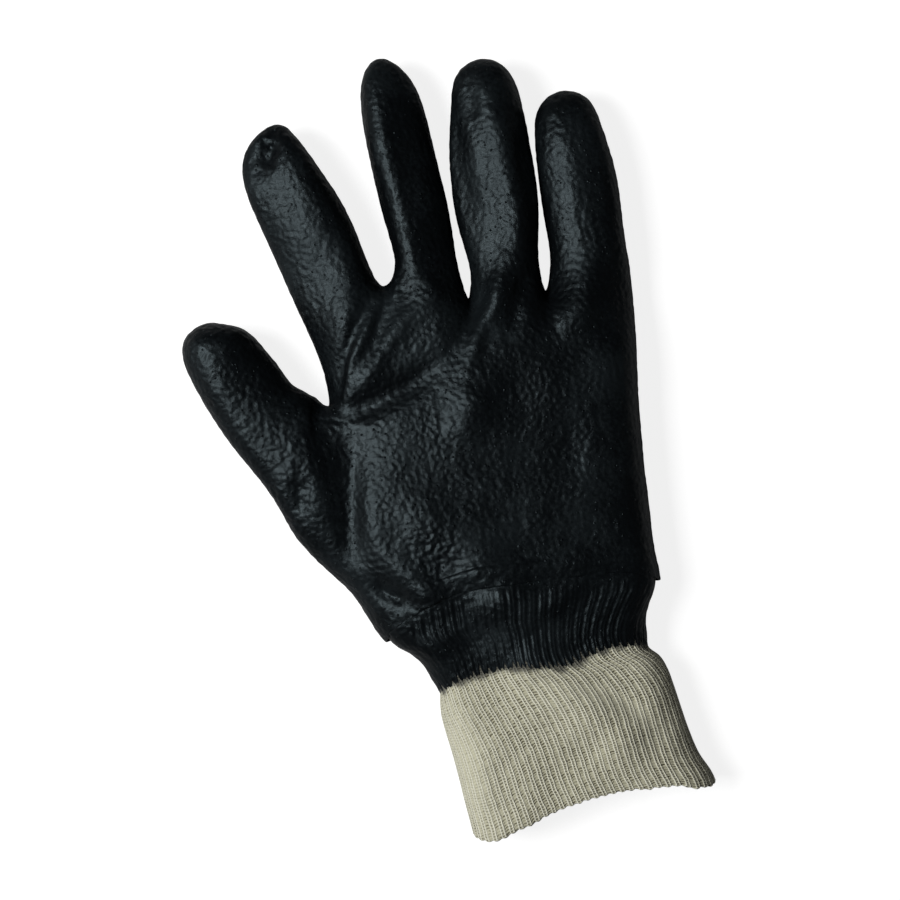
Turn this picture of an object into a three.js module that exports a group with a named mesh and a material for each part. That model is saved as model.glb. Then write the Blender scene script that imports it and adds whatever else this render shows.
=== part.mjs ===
// A knit-wrist glove of PVC-coated cloth for the left hand, lying on its back with the palm up.
// Millimetres. X runs from the thumb's side to the little finger's, Y from the wrist to the
// fingertips and Z up out of the palm. The floor is z = 0.

import * as THREE from "three";

// Walls and gaps
const COATED_WALL = 1.8; // cloth and coating of the hand
const BAND_WALL = 0.9; // coating on the knit of the wrist
const KNIT_WALL = 1.5; // knit of the wrist, measured from the crests of its ribs
const GAP = 0.4; // between two pieces that are worn together

// Ribs of the wrist: each has two crests with a shallow line between them, and a deep groove follows.
const RIBS = 62;
const RIB_PROFILE = [0, 0.3, 0, 1]; // depth of a rib's columns, as a share of the groove's depth
const OUTER_COLUMNS = RIBS * RIB_PROFILE.length;
const INNER_COLUMNS = RIBS; // the inner faces are plain, a column for every rib
const KNIT_RIB_DEPTH = 0.45;
const BAND_RIB_DEPTH = 0.3;
const EDGE_ROUNDING = 0.5; // how far the knit's open edge draws in
const EDGE_LENGTH = 2; // from where the knit starts to draw in to its open edge
const DIP_STEP = 4.5; // from the dip line down to where the knit has come out to its full width
const BAND_MIDDLE = 0.35; // where the coated ribs start, as a share of the way down to the dip line

// The hem of the hand reaches over the top of the wrist.
const HEM_LENGTH = 5.5; // from the hem's edge to the fullest part of its roll
const HEM_ROLL = 0.4; // how far that part stands out over the edge
const TUCK = 4.5; // how far the wrist goes up inside the hand

// Every ring of the hand and the wrist has the same stations, evenly spaced round it. Station 0 is
// on the thumb's side, 5 on the middle of the palm, 10 on the little finger's side and 15 on the back.
const STATIONS = 20;
const PALM_STATIONS = 9; // those between the two sides, on the palm or on the back

// Rings of the palm from the fingers down. left and right are the two sides in plan, bow is how far
// the middle lies nearer to the fingers than they do. under and over are the lowest and the highest
// z, and crown is how far the middle of the palm stands over the shoulders of the ring.
const PALM_ROWS = [
  { left: [-35.2, 24.0], right: [77.6, 23.0], bow: 3.5, under: -0.6, over: 28.0, crown: 3.6 },
  { left: [-37.0, -1.0], right: [74.0, -1.0], bow: 1.0, under: -0.8, over: 29.0, crown: 3.8 },
  { left: [-41.5, -24.0], right: [71.2, -24.0], bow: 1.5, under: -0.8, over: 29.5, crown: 4.2 },
  { left: [-39.6, -46.8], right: [69.2, -47.0], bow: 5.5, under: -0.6, over: 29.0, crown: 4.6 },
];

// Outer surface of the wrist: the coating down to the dip line at y = -84, the knit below it.
const WRIST_ROWS = [
  { y: -44, left: -34.2, right: 66.2, under: 2.6, over: 27.4, crown: 5.5 },
  { y: -55, left: -33.4, right: 66.5, under: 2.6, over: 27.0, crown: 5.5 },
  { y: -62, left: -31.8, right: 66.7, under: 2.6, over: 26.6, crown: 5.3 },
  { y: -66, left: -29.1, right: 65.0, under: 2.4, over: 26.2, crown: 5.0 },
  { y: -70, left: -24.6, right: 62.6, under: 2.2, over: 25.8, crown: 4.8 },
  { y: -75, left: -21.2, right: 60.5, under: 1.9, over: 25.4, crown: 4.5 },
  { y: -80, left: -19.6, right: 59.9, under: 1.5, over: 25.0, crown: 4.3 },
  { y: -85, left: -17.9, right: 59.6, under: 1.1, over: 25.0, crown: 4.2 },
  { y: -89, left: -18.3, right: 62.7, under: 0.7, over: 25.6, crown: 4.2 },
  { y: -94, left: -18.8, right: 64.5, under: 0.3, over: 26.2, crown: 4.4 },
  { y: -100, left: -18.5, right: 65.4, under: 0.0, over: 26.7, crown: 4.6 },
  { y: -108, left: -17.8, right: 66.3, under: 0.0, over: 27.0, crown: 4.8 },
  { y: -117, left: -17.3, right: 67.4, under: 0.0, over: 27.0, crown: 4.8 },
  { y: -126, left: -17.0, right: 69.2, under: 0.0, over: 26.8, crown: 4.6 },
  { y: -134, left: -16.6, right: 72.4, under: 0.0, over: 26.4, crown: 4.4 },
  { y: -142, left: -16.2, right: 73.8, under: 0.0, over: 26.0, crown: 4.2 },
];

// y of three lines round the wrist, at the stations from the thumb's side over the palm to the
// little finger's side (11 values) and on over the back (9 values).
const HEM_EDGE = [
  -63.8, -60.2, -55.0, -51.6, -51.0, -51.6, -52.8, -54.4, -56.0, -59.2, -62.2,
  -61.6, -60.4, -60.0, -60.0, -60.0, -60.0, -60.5, -61.2, -63.0,
];
const DIP_LINE = [
  -85.2, -83.4, -82.0, -81.2, -81.6, -83.8, -84.4, -82.6, -81.8, -82.8, -84.6,
  -84.6, -84.2, -84.0, -84.0, -84.0, -84.0, -84.2, -84.6, -85.0,
];
const CUFF_EDGE = [
  -138.4, -140.7, -139.2, -136.4, -133.9, -132.7, -132.6, -133.4, -134.9, -137.8, -137.5,
  -136.5, -134.0, -133.0, -132.5, -132.5, -133.0, -134.0, -136.0, -138.5,
];

// Middle of the glove's box in plan, in the coordinates of the tables.
const CENTRE = { x: 0.3, y: 0.7 };

// How far the ribs have gone round the wrist by a given y, as a share of the way round. slip is how
// much nearer to the two edges those between the edges and the middle lie.
const RIB_TWIST = [
  { y: -50, share: 0.032, slip: 0.0 },
  { y: -58, share: 0.026, slip: 0.0 },
  { y: -68, share: 0.012, slip: 0.001 },
  { y: -78, share: 0.001, slip: 0.003 },
  { y: -84, share: 0.002, slip: 0.006 },
  { y: -90, share: 0.011, slip: 0.009 },
  { y: -100, share: 0.025, slip: 0.008 },
  { y: -112, share: 0.03, slip: 0.003 },
  { y: -126, share: 0.03, slip: 0.0 },
  { y: -142, share: 0.029, slip: -0.002 },
];

// The row where the palm divides into fingers: over is z on the palm, under z on the back.
const ROOTS = [
  { x: -31.5, y: 42.5, over: 19.5, under: 2.2 },
  { x: -21.0, y: 51.5, over: 25.5, under: -0.4 },
  { x: -6.5, y: 56.5, over: 21.5, under: 2.6 },
  { x: 8.5, y: 55.5, over: 26.5, under: -0.5 },
  { x: 21.8, y: 45.8, over: 21.5, under: 2.6 },
  { x: 36.0, y: 49.5, over: 26.5, under: -0.5 },
  { x: 49.7, y: 42.8, over: 21.0, under: 2.6 },
  { x: 64.5, y: 46.5, over: 24.5, under: -0.4 },
  { x: 76.0, y: 42.5, over: 18.5, under: 2.2 },
];

// Beside and between the fingers, from the index finger's outer side to the little finger's.
const CROTCHES = [
  { x: -35.0, y: 40.0, z: 10.5 },
  { x: -6.2, y: 61.8, z: 12.0 },
  { x: 22.0, y: 51.0, z: 12.0 },
  { x: 49.7, y: 48.0, z: 11.5 },
  { x: 80.5, y: 43.5, z: 10.0 },
];

// Rings of the fingers from the root to the tip. left and right are the two sides in plan,
// under and over the lowest and the highest z. The last row is the centre of the tip. lean is how
// far the right shoulder of the rings stands over the left one, as a share of their height.
const FINGERS = [
  {
    // Index finger
    lean: 0.1,
    rings: [
      { left: [-38.2, 56.5], right: [-10.2, 67.5], under: 0.0, over: 24.0 },
      { left: [-41.8, 73.0], right: [-12.7, 83.0], under: 0.9, over: 23.5 },
      { left: [-45.8, 91.5], right: [-16.9, 98.0], under: 2.0, over: 23.5 },
      { left: [-48.2, 109.0], right: [-22.1, 111.0], under: 4.0, over: 23.0 },
      { left: [-44.4, 120.8], right: [-27.0, 121.0], under: 7.5, over: 20.5 },
    ],
    tip: { x: -33.4, y: 126.4, z: 14.0 },
  },
  {
    // Middle finger
    lean: -0.06,
    rings: [
      { left: [-1.5, 69.0], right: [20.8, 61.5], under: 0.0, over: 24.5 },
      { left: [-1.8, 84.0], right: [21.5, 81.0], under: 0.4, over: 23.8 },
      { left: [-2.2, 102.0], right: [21.2, 101.0], under: 1.0, over: 23.5 },
      { left: [-2.1, 119.5], right: [20.4, 119.0], under: 2.2, over: 23.0 },
      { left: [0.2, 134.2], right: [17.6, 133.2], under: 5.5, over: 20.5 },
    ],
    tip: { x: 8.4, y: 141.9, z: 13.0 },
  },
  {
    // Ring finger
    lean: 0.14,
    rings: [
      { left: [24.6, 60.5], right: [49.6, 60.0], under: 0.0, over: 24.8 },
      { left: [23.8, 77.0], right: [53.3, 77.5], under: 0.5, over: 24.8 },
      { left: [25.2, 98.0], right: [54.8, 97.0], under: 1.2, over: 25.0 },
      { left: [29.2, 116.5], right: [55.2, 115.0], under: 2.5, over: 24.2 },
      { left: [33.8, 129.6], right: [52.8, 128.6], under: 6.0, over: 21.0 },
    ],
    tip: { x: 44.0, y: 134.4, z: 13.5 },
  },
  {
    // Little finger
    lean: 0.06,
    rings: [
      { left: [53.5, 58.5], right: [81.4, 56.5], under: 0.0, over: 22.8 },
      { left: [54.6, 72.0], right: [82.8, 71.5], under: 0.3, over: 22.6 },
      { left: [55.7, 88.0], right: [83.4, 87.0], under: 0.8, over: 22.6 },
      { left: [57.4, 102.0], right: [81.8, 102.0], under: 2.0, over: 22.0 },
      { left: [60.7, 112.2], right: [78.4, 113.0], under: 5.5, over: 18.8 },
    ],
    tip: { x: 69.2, y: 117.2, z: 12.0 },
  },
];

// Rings of the thumb, fanned round its crotch: left is the outer side, right the crotch's side.
const THUMB = {
  lean: 0.08,
  rings: [
    { left: [-46.8, -35.8], right: [-38.2, 26.6], under: 0.6, over: 26.0 },
    { left: [-56.2, -20.4], right: [-40.4, 28.8], under: 1.2, over: 27.0 },
    { left: [-61.4, -5.0], right: [-43.4, 31.3], under: 1.8, over: 26.6 },
    { left: [-70.1, 12.5], right: [-47.0, 34.6], under: 2.4, over: 26.0 },
    { left: [-76.8, 27.8], right: [-50.0, 41.4], under: 3.0, over: 26.0 },
    { left: [-80.3, 39.0], right: [-53.5, 48.2], under: 3.8, over: 26.5 },
    { left: [-82.7, 52.0], right: [-58.6, 55.8], under: 5.4, over: 26.0 },
    { left: [-79.0, 59.2], right: [-64.2, 59.6], under: 9.0, over: 22.5 },
  ],
  tip: { x: -71.6, y: 61.9, z: 16.0 },
};

// Folds, dents and rises of the palm's side. Each follows its path in plan, is as wide as width to
// either side, and lifts the surface by rise where it is strongest. They act on the surface that
// faces up, and fade out over the sides.
const FOLD_ENDS = 0.35; // what is left of a fold at the ends of its path
const FOLD_RUN_IN = 0.3; // share of its path over which a fold grows to its full rise
const FOLD_STEEPNESS = 2; // how fast a fold falls off to its sides
const FADE_FROM = 0.1; // z of the unit normal where the folds start to act
const FADE_TO = 0.6; // z of the unit normal from which they act in full
const FOLDS = [
  { path: [[-29, 17], [-30, 3], [-34, -14], [-39, -30], [-39, -42]], width: 6.0, rise: -2.4 },
  { path: [[-25, 4], [-26, -12], [-28, -24], [-22, -36], [-12, -47]], width: 6.0, rise: 0.9 },
  { path: [[-18, -8], [-6, -26], [3, -40], [9, -52]], width: 17.0, rise: 3.4 },
  { path: [[-32.5, 23], [-27, 37], [-20, 48], [-14, 56]], width: 3.6, rise: -1.8 },
  { path: [[-29, 25], [-23.6, 38], [-16, 47.6], [-9.4, 56.5]], width: 3.0, rise: 1.2 },
  { path: [[-10, 52], [-14, 41], [-20, 34]], width: 3.4, rise: -1.0 },
  { path: [[-26, 26], [-16, 34.6], [-9, 42], [-2, 47.6], [10, 54]], width: 4.6, rise: 1.5 },
  { path: [[-31, 20], [-20, 20.5], [-4, 25], [12, 32.5]], width: 6.4, rise: -2.5 },
  { path: [[27, 50], [19, 41], [12, 34]], width: 4.0, rise: -1.0 },
  { path: [[37, 62], [31, 47], [23.7, 39], [16, 26]], width: 4.2, rise: 1.9 },
  { path: [[46, 56], [39, 46], [33, 34]], width: 5.0, rise: -1.8 },
  { path: [[6, 0], [12, 10], [20, 20]], width: 11.0, rise: 2.2 },
  { path: [[20, -8], [55, -12]], width: 13.0, rise: -1.4 },
  { path: [[48, 36], [68, 40]], width: 8.0, rise: 1.2 },
  { path: [[-34, -42], [-28, -47], [-21, -50.5]], width: 5.0, rise: -2.6 },
  { path: [[-75, 52], [-70, 38], [-65, 18], [-57, -4], [-47, -24]], width: 5.5, rise: 1.8 },
  { path: [[-50, 1], [-53, -13]], width: 5.5, rise: -2.2 },
  { path: [[-41, 111], [-37.5, 117], [-34.5, 121]], width: 5.0, rise: -3.2 },
  { path: [[38, 120], [40, 100], [42, 76], [38, 60]], width: 4.5, rise: 1.3 },
  { path: [[49.5, 122], [49, 102], [47.5, 80]], width: 4.5, rise: -1.5 },
  { path: [[63, 108], [63, 86], [61, 66]], width: 5.0, rise: 1.0 },
];

const FIT_STEPS = 80; // rounds that bring the smooth surface onto the points of the tables
const FINGER_SHOULDER = 0.74; // how full a finger's ring is, half way between its side and its top

// Value of column key at y, on a smooth curve through the rows, which are sorted by falling y.
function valueAt(rows, key, y) {
  const last = rows.length - 1;
  let i = 0;
  while (i < last - 1 && y < rows[i + 1].y) i += 1;
  const a = rows[i];
  const b = rows[i + 1];
  const before = rows[Math.max(i - 1, 0)];
  const after = rows[Math.min(i + 2, last)];
  const span = b.y - a.y;
  const t = THREE.MathUtils.clamp((y - a.y) / span, 0, 1);
  const slopeA = (span * (b[key] - before[key])) / (b.y - before.y);
  const slopeB = (span * (after[key] - a[key])) / (after.y - a.y);
  const keep = (1 + 2 * t) * (1 - t) * (1 - t) * a[key] + t * t * (3 - 2 * t) * b[key];
  return keep + t * (1 - t) * (1 - t) * slopeA - t * t * (1 - t) * slopeB;
}

// Value on a smooth closed curve through evenly spaced values, at a share of the way round.
function roundValue(values, share) {
  const count = values.length;
  const place = (((share % 1) + 1) % 1) * count;
  const i = Math.floor(place) % count;
  const t = place - Math.floor(place);
  const a = values[(i + count - 1) % count];
  const b = values[i];
  const c = values[(i + 1) % count];
  const d = values[(i + 2) % count];
  const cubic = 3 * (b - c) + d - a;
  const square = 2 * a - 5 * b + 4 * c - d;
  return b + 0.5 * t * (c - a + t * (square + t * cubic));
}

// Point of a flattened ring, at a share of the way round it from its left side over the top. The
// ring is two straight runs joined by half circles, with a crown on its upper side.
function ringPoint(row, share, outset) {
  const radius = (row.over - row.crown - row.under) / 2 + outset;
  const half = (row.right[0] - row.left[0]) / 2 + outset;
  const run = 2 * (half - radius);
  const quarter = (Math.PI * radius) / 2;
  const around = 2 * run + 4 * quarter;
  const turned = ((share % 1) + 1) % 1;
  const upper = turned <= 0.5;
  const way = (upper ? turned : 1 - turned) * around;
  let across = 0;
  let up = radius;
  if (way < quarter) {
    across = -half + radius * (1 - Math.cos(way / radius));
    up = radius * Math.sin(way / radius);
  } else if (way < quarter + run) {
    across = -half + radius + (way - quarter);
  } else {
    const rest = (2 * quarter + run - way) / radius;
    across = half - radius * (1 - Math.cos(rest));
    up = radius * Math.sin(rest);
  }
  const mid = (row.left[0] + row.right[0]) / 2;
  const level = (row.left[1] + row.right[1]) / 2;
  const tilt = (row.right[1] - row.left[1]) / (2 * half);
  const bulge = 1 - (across / half) ** 2;
  const lift = upper ? up + row.crown * bulge * (up / radius) : -up;
  const y = level + tilt * across + (row.bow || 0) * bulge;
  return new THREE.Vector3(mid + across, y, row.under - outset + radius + lift);
}

// Point of the wrist's outer surface at a share of the way round and a y.
function wristPoint(share, y, outset) {
  const row = {
    left: [valueAt(WRIST_ROWS, "left", y), y],
    right: [valueAt(WRIST_ROWS, "right", y), y],
    under: Math.max(valueAt(WRIST_ROWS, "under", y), 0),
    over: valueAt(WRIST_ROWS, "over", y),
    crown: valueAt(WRIST_ROWS, "crown", y),
  };
  return ringPoint(row, share, outset);
}

// The frame of the hand's surface: four-sided faces whose corners lie on the surface.
function handFrame() {
  const points = [];
  const faces = [];
  const add = (point) => points.push(point) - 1;

  // The palm: a ring for the finger roots, the rows of the table, and two rings for the hem.
  const roots = [add(new THREE.Vector3(CROTCHES[0].x, CROTCHES[0].y, CROTCHES[0].z))];
  ROOTS.forEach((root) => roots.push(add(new THREE.Vector3(root.x, root.y, root.over))));
  const little = CROTCHES[CROTCHES.length - 1];
  roots.push(add(new THREE.Vector3(little.x, little.y, little.z)));
  [...ROOTS].reverse().forEach((root) => roots.push(add(new THREE.Vector3(root.x, root.y, root.under))));
  const rings = [roots];
  PALM_ROWS.forEach((row, index) => {
    const open = index > 0 && index < PALM_ROWS.length - 1; // the thumb takes this row's left side
    const ring = [];
    for (let k = 0; k < STATIONS; k += 1) {
      ring.push(open && k === 0 ? -1 : add(ringPoint(row, k / STATIONS, 0)));
    }
    rings.push(ring);
  });
  const hem = COATED_WALL + GAP;
  for (const [above, outset] of [[HEM_LENGTH, hem + HEM_ROLL], [0, hem]]) {
    const ring = [];
    for (let k = 0; k < STATIONS; k += 1) {
      ring.push(add(wristPoint(k / STATIONS, HEM_EDGE[k] + above, outset)));
    }
    rings.push(ring);
  }
  for (let r = 0; r + 1 < rings.length; r += 1) {
    for (let k = 0; k < STATIONS; k += 1) {
      const next = (k + 1) % STATIONS;
      const face = [rings[r][k], rings[r + 1][k], rings[r + 1][next], rings[r][next]];
      const inThumb = r > 0 && r < PALM_ROWS.length && (k === 0 || next === 0);
      if (!inThumb) faces.push(face);
    }
  }

  // Closes a ring with faces round the centre of the tip, each taking two sides of the ring.
  const closeTip = (ring, tip) => {
    const centre = add(new THREE.Vector3(tip.x, tip.y, tip.z));
    for (let k = 0; k < ring.length; k += 2) {
      const size = ring.length;
      faces.push([ring[k], ring[(k + 1) % size], ring[(k + 2) % size], centre]);
    }
  };

  // Joins ring to ring, and returns the last one.
  const joinRings = (from, to) => {
    for (let k = 0; k < from.length; k += 1) {
      const next = (k + 1) % from.length;
      faces.push([from[k], from[next], to[next], to[k]]);
    }
    return to;
  };

  // A ring across a finger, from its left side over the top. corners are the turns of its points,
  // and lean lifts the upper ones on the right and lowers those on the left.
  const crossRing = (row, corners, shoulder, lean) => {
    const middle = (row.over + row.under) / 2;
    const rise = (row.over - row.under) / 2;
    return corners.map(([across, up]) => {
      const share = (1 + shoulder(across)) / 2;
      const x = THREE.MathUtils.lerp(row.left[0], row.right[0], share);
      const y = THREE.MathUtils.lerp(row.left[1], row.right[1], share);
      const leaning = up > 0 ? lean * shoulder(across) : 0;
      return add(new THREE.Vector3(x, y, middle + rise * (shoulder(up) + leaning)));
    });
  };

  const crotches = CROTCHES.map((crotch, index) => {
    if (index === 0) return roots[0];
    if (index === CROTCHES.length - 1) return roots[PALM_STATIONS + 1];
    return add(new THREE.Vector3(crotch.x, crotch.y, crotch.z));
  });
  const eighths = [[-1, 0], [-0.5, 0.5], [0, 1], [0.5, 0.5], [1, 0], [0.5, -0.5], [0, -1], [-0.5, -0.5]];
  const full = (value) => (Math.abs(value) === 0.5 ? Math.sign(value) * FINGER_SHOULDER : value);
  FINGERS.forEach((finger, index) => {
    const top = 2 * index + 1;
    const bottom = STATIONS - top;
    let ring = [
      crotches[index], roots[top], roots[top + 1], roots[top + 2],
      crotches[index + 1], roots[bottom - 2], roots[bottom - 1], roots[bottom],
    ];
    finger.rings.forEach((row) => {
      ring = joinRings(ring, crossRing(row, eighths, full, finger.lean));
    });
    closeTip(ring, finger.tip);
  });

  // The thumb starts from the gap left in the side of the palm.
  const rowCount = PALM_ROWS.length;
  const upperSide = [];
  const lowerSide = [];
  for (let r = 1; r <= rowCount; r += 1) {
    upperSide.push(rings[r][1]);
    lowerSide.unshift(rings[r][STATIONS - 1]);
  }
  let ring = [rings[rowCount][0], ...upperSide.reverse(), rings[1][0], ...lowerSide.reverse()];
  const tenths = [];
  for (let k = 0; k < ring.length; k += 1) {
    const angle = Math.PI - (2 * Math.PI * k) / ring.length;
    tenths.push([Math.cos(angle), Math.sin(angle)]);
  }
  THUMB.rings.forEach((row) => {
    ring = joinRings(ring, crossRing(row, tenths, (value) => value, THUMB.lean));
  });
  closeTip(ring, THUMB.tip);
  return { points, faces };
}

// For each point of a mesh: the points across its edges, those across its faces, and for a point
// of the open edge its two neighbours there.
function neighbours({ points, faces }) {
  const around = points.map(() => ({ edges: new Map(), corners: [] }));
  faces.forEach((face) => {
    face.forEach((point, k) => {
      const near = around[point];
      for (const other of [face[(k + 1) % 4], face[(k + 3) % 4]]) {
        near.edges.set(other, (near.edges.get(other) || 0) + 1);
      }
      near.corners.push(face[(k + 2) % 4]);
    });
  });
  return around.map(({ edges, corners }) => {
    const rim = [...edges.keys()].filter((other) => edges.get(other) === 1);
    return { edges: [...edges.keys()], corners, rim };
  });
}

// Where the points of a mesh lie on its smooth limit surface.
function limitPoints({ points }, around) {
  return points.map((point, index) => {
    const { edges, corners, rim } = around[index];
    const sum = new THREE.Vector3();
    if (rim.length === 2) {
      return sum.copy(point).multiplyScalar(4).add(points[rim[0]]).add(points[rim[1]]).divideScalar(6);
    }
    const n = edges.length;
    sum.addScaledVector(point, n * n);
    edges.forEach((other) => sum.addScaledVector(points[other], 4));
    corners.forEach((other) => sum.add(points[other]));
    return sum.divideScalar(n * (n + 5));
  });
}

// The mesh whose smooth limit surface passes through the points of the given one.
function fitted(mesh) {
  const around = neighbours(mesh);
  const moved = { points: mesh.points.map((point) => point.clone()), faces: mesh.faces };
  for (let step = 0; step < FIT_STEPS; step += 1) {
    const reached = limitPoints(moved, around);
    moved.points.forEach((point, index) => point.add(mesh.points[index]).sub(reached[index]));
  }
  return moved;
}

// One round of smooth subdivision: every four-sided face becomes four.
function subdivided(mesh) {
  const around = neighbours(mesh);
  const centres = mesh.faces.map((face) => {
    const centre = new THREE.Vector3();
    face.forEach((point) => centre.addScaledVector(mesh.points[point], 0.25));
    return centre;
  });
  const sides = new Map();
  mesh.faces.forEach((face, index) => {
    face.forEach((point, k) => {
      const other = face[(k + 1) % 4];
      const key = Math.min(point, other) + " " + Math.max(point, other);
      if (!sides.has(key)) sides.set(key, { ends: [point, other], faces: [] });
      sides.get(key).faces.push(index);
    });
  });
  const sumOfFaces = mesh.points.map(() => new THREE.Vector3());
  mesh.faces.forEach((face, index) => face.forEach((point) => sumOfFaces[point].add(centres[index])));
  const points = mesh.points.map((point, index) => {
    const { edges, rim } = around[index];
    const made = new THREE.Vector3();
    if (rim.length === 2) {
      return made.copy(point).multiplyScalar(6).add(mesh.points[rim[0]]).add(mesh.points[rim[1]]).divideScalar(8);
    }
    const n = edges.length;
    edges.forEach((other) => made.add(mesh.points[other]));
    made.addScaledVector(point, n * (n - 2)).add(sumOfFaces[index]);
    return made.divideScalar(n * n);
  });
  const sideStart = points.length;
  const sideNumber = new Map();
  [...sides].forEach(([key, side], index) => {
    const made = new THREE.Vector3().add(mesh.points[side.ends[0]]).add(mesh.points[side.ends[1]]);
    side.faces.length === 2
      ? made.add(centres[side.faces[0]]).add(centres[side.faces[1]]).divideScalar(4)
      : made.divideScalar(2);
    points.push(made);
    sideNumber.set(key, sideStart + index);
  });
  const centreStart = points.length;
  points.push(...centres);
  const faces = [];
  mesh.faces.forEach((face, index) => {
    face.forEach((point, k) => {
      const after = face[(k + 1) % 4];
      const before = face[(k + 3) % 4];
      const first = sideNumber.get(Math.min(point, after) + " " + Math.max(point, after));
      const second = sideNumber.get(Math.min(point, before) + " " + Math.max(point, before));
      faces.push([point, first, centreStart + index, second]);
    });
  });
  return { points, faces };
}

// How strongly a fold acts at a place in plan: 1 on its path, less beside it and at its ends.
function foldStrength({ path, width }, x, y) {
  let strength = 0;
  for (let k = 0; k + 1 < path.length; k += 1) {
    const [ax, ay] = path[k];
    const [bx, by] = path[k + 1];
    const dx = bx - ax;
    const dy = by - ay;
    const along = THREE.MathUtils.clamp(((x - ax) * dx + (y - ay) * dy) / (dx * dx + dy * dy), 0, 1);
    const away = Math.hypot(x - ax - along * dx, y - ay - along * dy) / width;
    const share = (k + along) / (path.length - 1);
    const fromEnd = Math.min(share, 1 - share);
    const taper = FOLD_ENDS + (1 - FOLD_ENDS) * THREE.MathUtils.smoothstep(fromEnd, 0, FOLD_RUN_IN);
    strength = Math.max(strength, taper * Math.exp(-FOLD_STEEPNESS * away * away));
  }
  return strength;
}

// Unit normals of a mesh at its points, outward where its faces turn anticlockwise.
function normalsOf({ points, faces }) {
  const normals = points.map(() => new THREE.Vector3());
  faces.forEach(([a, b, c, d]) => {
    const first = new THREE.Vector3().subVectors(points[c], points[a]);
    const second = new THREE.Vector3().subVectors(points[d], points[b]);
    const normal = first.cross(second);
    [a, b, c, d].forEach((point) => normals[point].add(normal));
  });
  return normals.map((normal) => normal.normalize());
}

// A mesh from corner points and triangles.
function meshOf(name, points, triangles, material) {
  const geometry = new THREE.BufferGeometry();
  const values = new Float32Array(points.length * 3);
  points.forEach((point, index) => point.toArray(values, index * 3));
  geometry.setAttribute("position", new THREE.BufferAttribute(values, 3));
  geometry.setIndex(triangles.flat());
  geometry.translate(-CENTRE.x, -CENTRE.y, 0);
  geometry.computeVertexNormals();
  const mesh = new THREE.Mesh(geometry, material);
  mesh.name = name;
  return mesh;
}

// The hand: the smooth surface with its folds, lying flat where it meets the floor, and an inner
// face one wall inside it. The two meet round the edge of the hem.
function coatedHand(material) {
  const frame = subdivided(fitted(handFrame()));
  const smooth = { points: limitPoints(frame, neighbours(frame)), faces: frame.faces };
  const facing = normalsOf(smooth);
  smooth.points.forEach((point, index) => {
    const upper = THREE.MathUtils.smoothstep(facing[index].z, FADE_FROM, FADE_TO);
    let rise = 0;
    if (upper > 0) FOLDS.forEach((fold) => (rise += fold.rise * foldStrength(fold, point.x, point.y)));
    point.addScaledVector(facing[index], upper * rise);
    point.z = Math.max(point.z, 0);
  });
  const normals = normalsOf(smooth);
  const inner = smooth.points.map((point, index) => point.clone().addScaledVector(normals[index], -COATED_WALL));
  const count = smooth.points.length;
  const triangles = [];
  smooth.faces.forEach(([a, b, c, d]) => {
    triangles.push([a, b, c], [a, c, d]);
    triangles.push([count + a, count + c, count + b], [count + a, count + d, count + c]);
  });
  const sides = new Map();
  smooth.faces.forEach((face) => {
    face.forEach((point, k) => sides.set(point + " " + face[(k + 1) % 4], [point, face[(k + 1) % 4]]));
  });
  sides.forEach(([from, to]) => {
    if (sides.has(to + " " + from)) return;
    triangles.push([to, from, count + from], [to, count + from, count + to]);
  });
  return meshOf("coated_hand", [...smooth.points, ...inner], triangles, material);
}

// Triangles between two rings of point numbers. The rings have as many points, or one has a
// whole number of times as many as the other, and then each point of the other gets a fan.
function joined(first, second) {
  const triangles = [];
  const few = Math.min(first.length, second.length);
  const firstStep = first.length / few;
  const secondStep = second.length / few;
  const at = (ring, k) => ring[k % ring.length];
  for (let k = 0; k < few; k += 1) {
    const a = k * firstStep;
    const b = k * secondStep;
    for (let i = 0; i < firstStep && firstStep > 1; i += 1) {
      const near = at(second, i < firstStep / 2 ? k : k + 1);
      triangles.push([at(first, a + i), near, at(first, a + i + 1)]);
    }
    for (let i = 0; i < secondStep && secondStep > 1; i += 1) {
      const near = at(first, i < secondStep / 2 ? k : k + 1);
      triangles.push([near, at(second, b + i), at(second, b + i + 1)]);
    }
    if (firstStep > 1) triangles.push([at(first, a + firstStep / 2), at(second, k), at(second, k + 1)]);
    else if (secondStep > 1) triangles.push([at(first, k), at(second, b + secondStep / 2), at(first, k + 1)]);
    else {
      triangles.push([at(first, k), at(second, k), at(second, k + 1)]);
      triangles.push([at(first, k), at(second, k + 1), at(first, k + 1)]);
    }
  }
  return triangles;
}

// A tube with a wall, from the rings of its outer face from the top down and those of its inner one.
// Both faces are split along the same diagonals, so that a tube inside another one keeps clear of it.
function tubeMesh(name, outerRows, innerRows, material) {
  const rows = [...outerRows, ...innerRows.reverse()];
  let count = 0;
  const numbered = rows.map((row) => row.map(() => count++));
  const triangles = numbered.flatMap((ring, index) => {
    const next = numbered[(index + 1) % rows.length];
    const onInnerFace = index >= outerRows.length && index + 1 < rows.length;
    return onInnerFace ? joined(next, ring).map(([a, b, c]) => [a, c, b]) : joined(ring, next);
  });
  return meshOf(name, rows.flat(), triangles, material);
}

// Share of the way round that a rib has reached at y, from the one that it starts at.
function ribShare(start, y) {
  const slip = valueAt(RIB_TWIST, "slip", y) * Math.sin(4 * Math.PI * start);
  return start + valueAt(RIB_TWIST, "share", y) - slip;
}

// A ring of points on the wrist. level gives y at a share of the way round, inset the depth under
// the wrist's outer surface, and groove how much deeper the ribs are parted.
function wristRing(columns, level, inset, groove) {
  const ring = [];
  for (let k = 0; k < columns; k += 1) {
    const start = k / columns;
    const share = ribShare(start, level(start));
    const parted = groove * RIB_PROFILE[k % RIB_PROFILE.length];
    ring.push(wristPoint(share, level(share), -inset - parted));
  }
  return ring;
}

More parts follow.
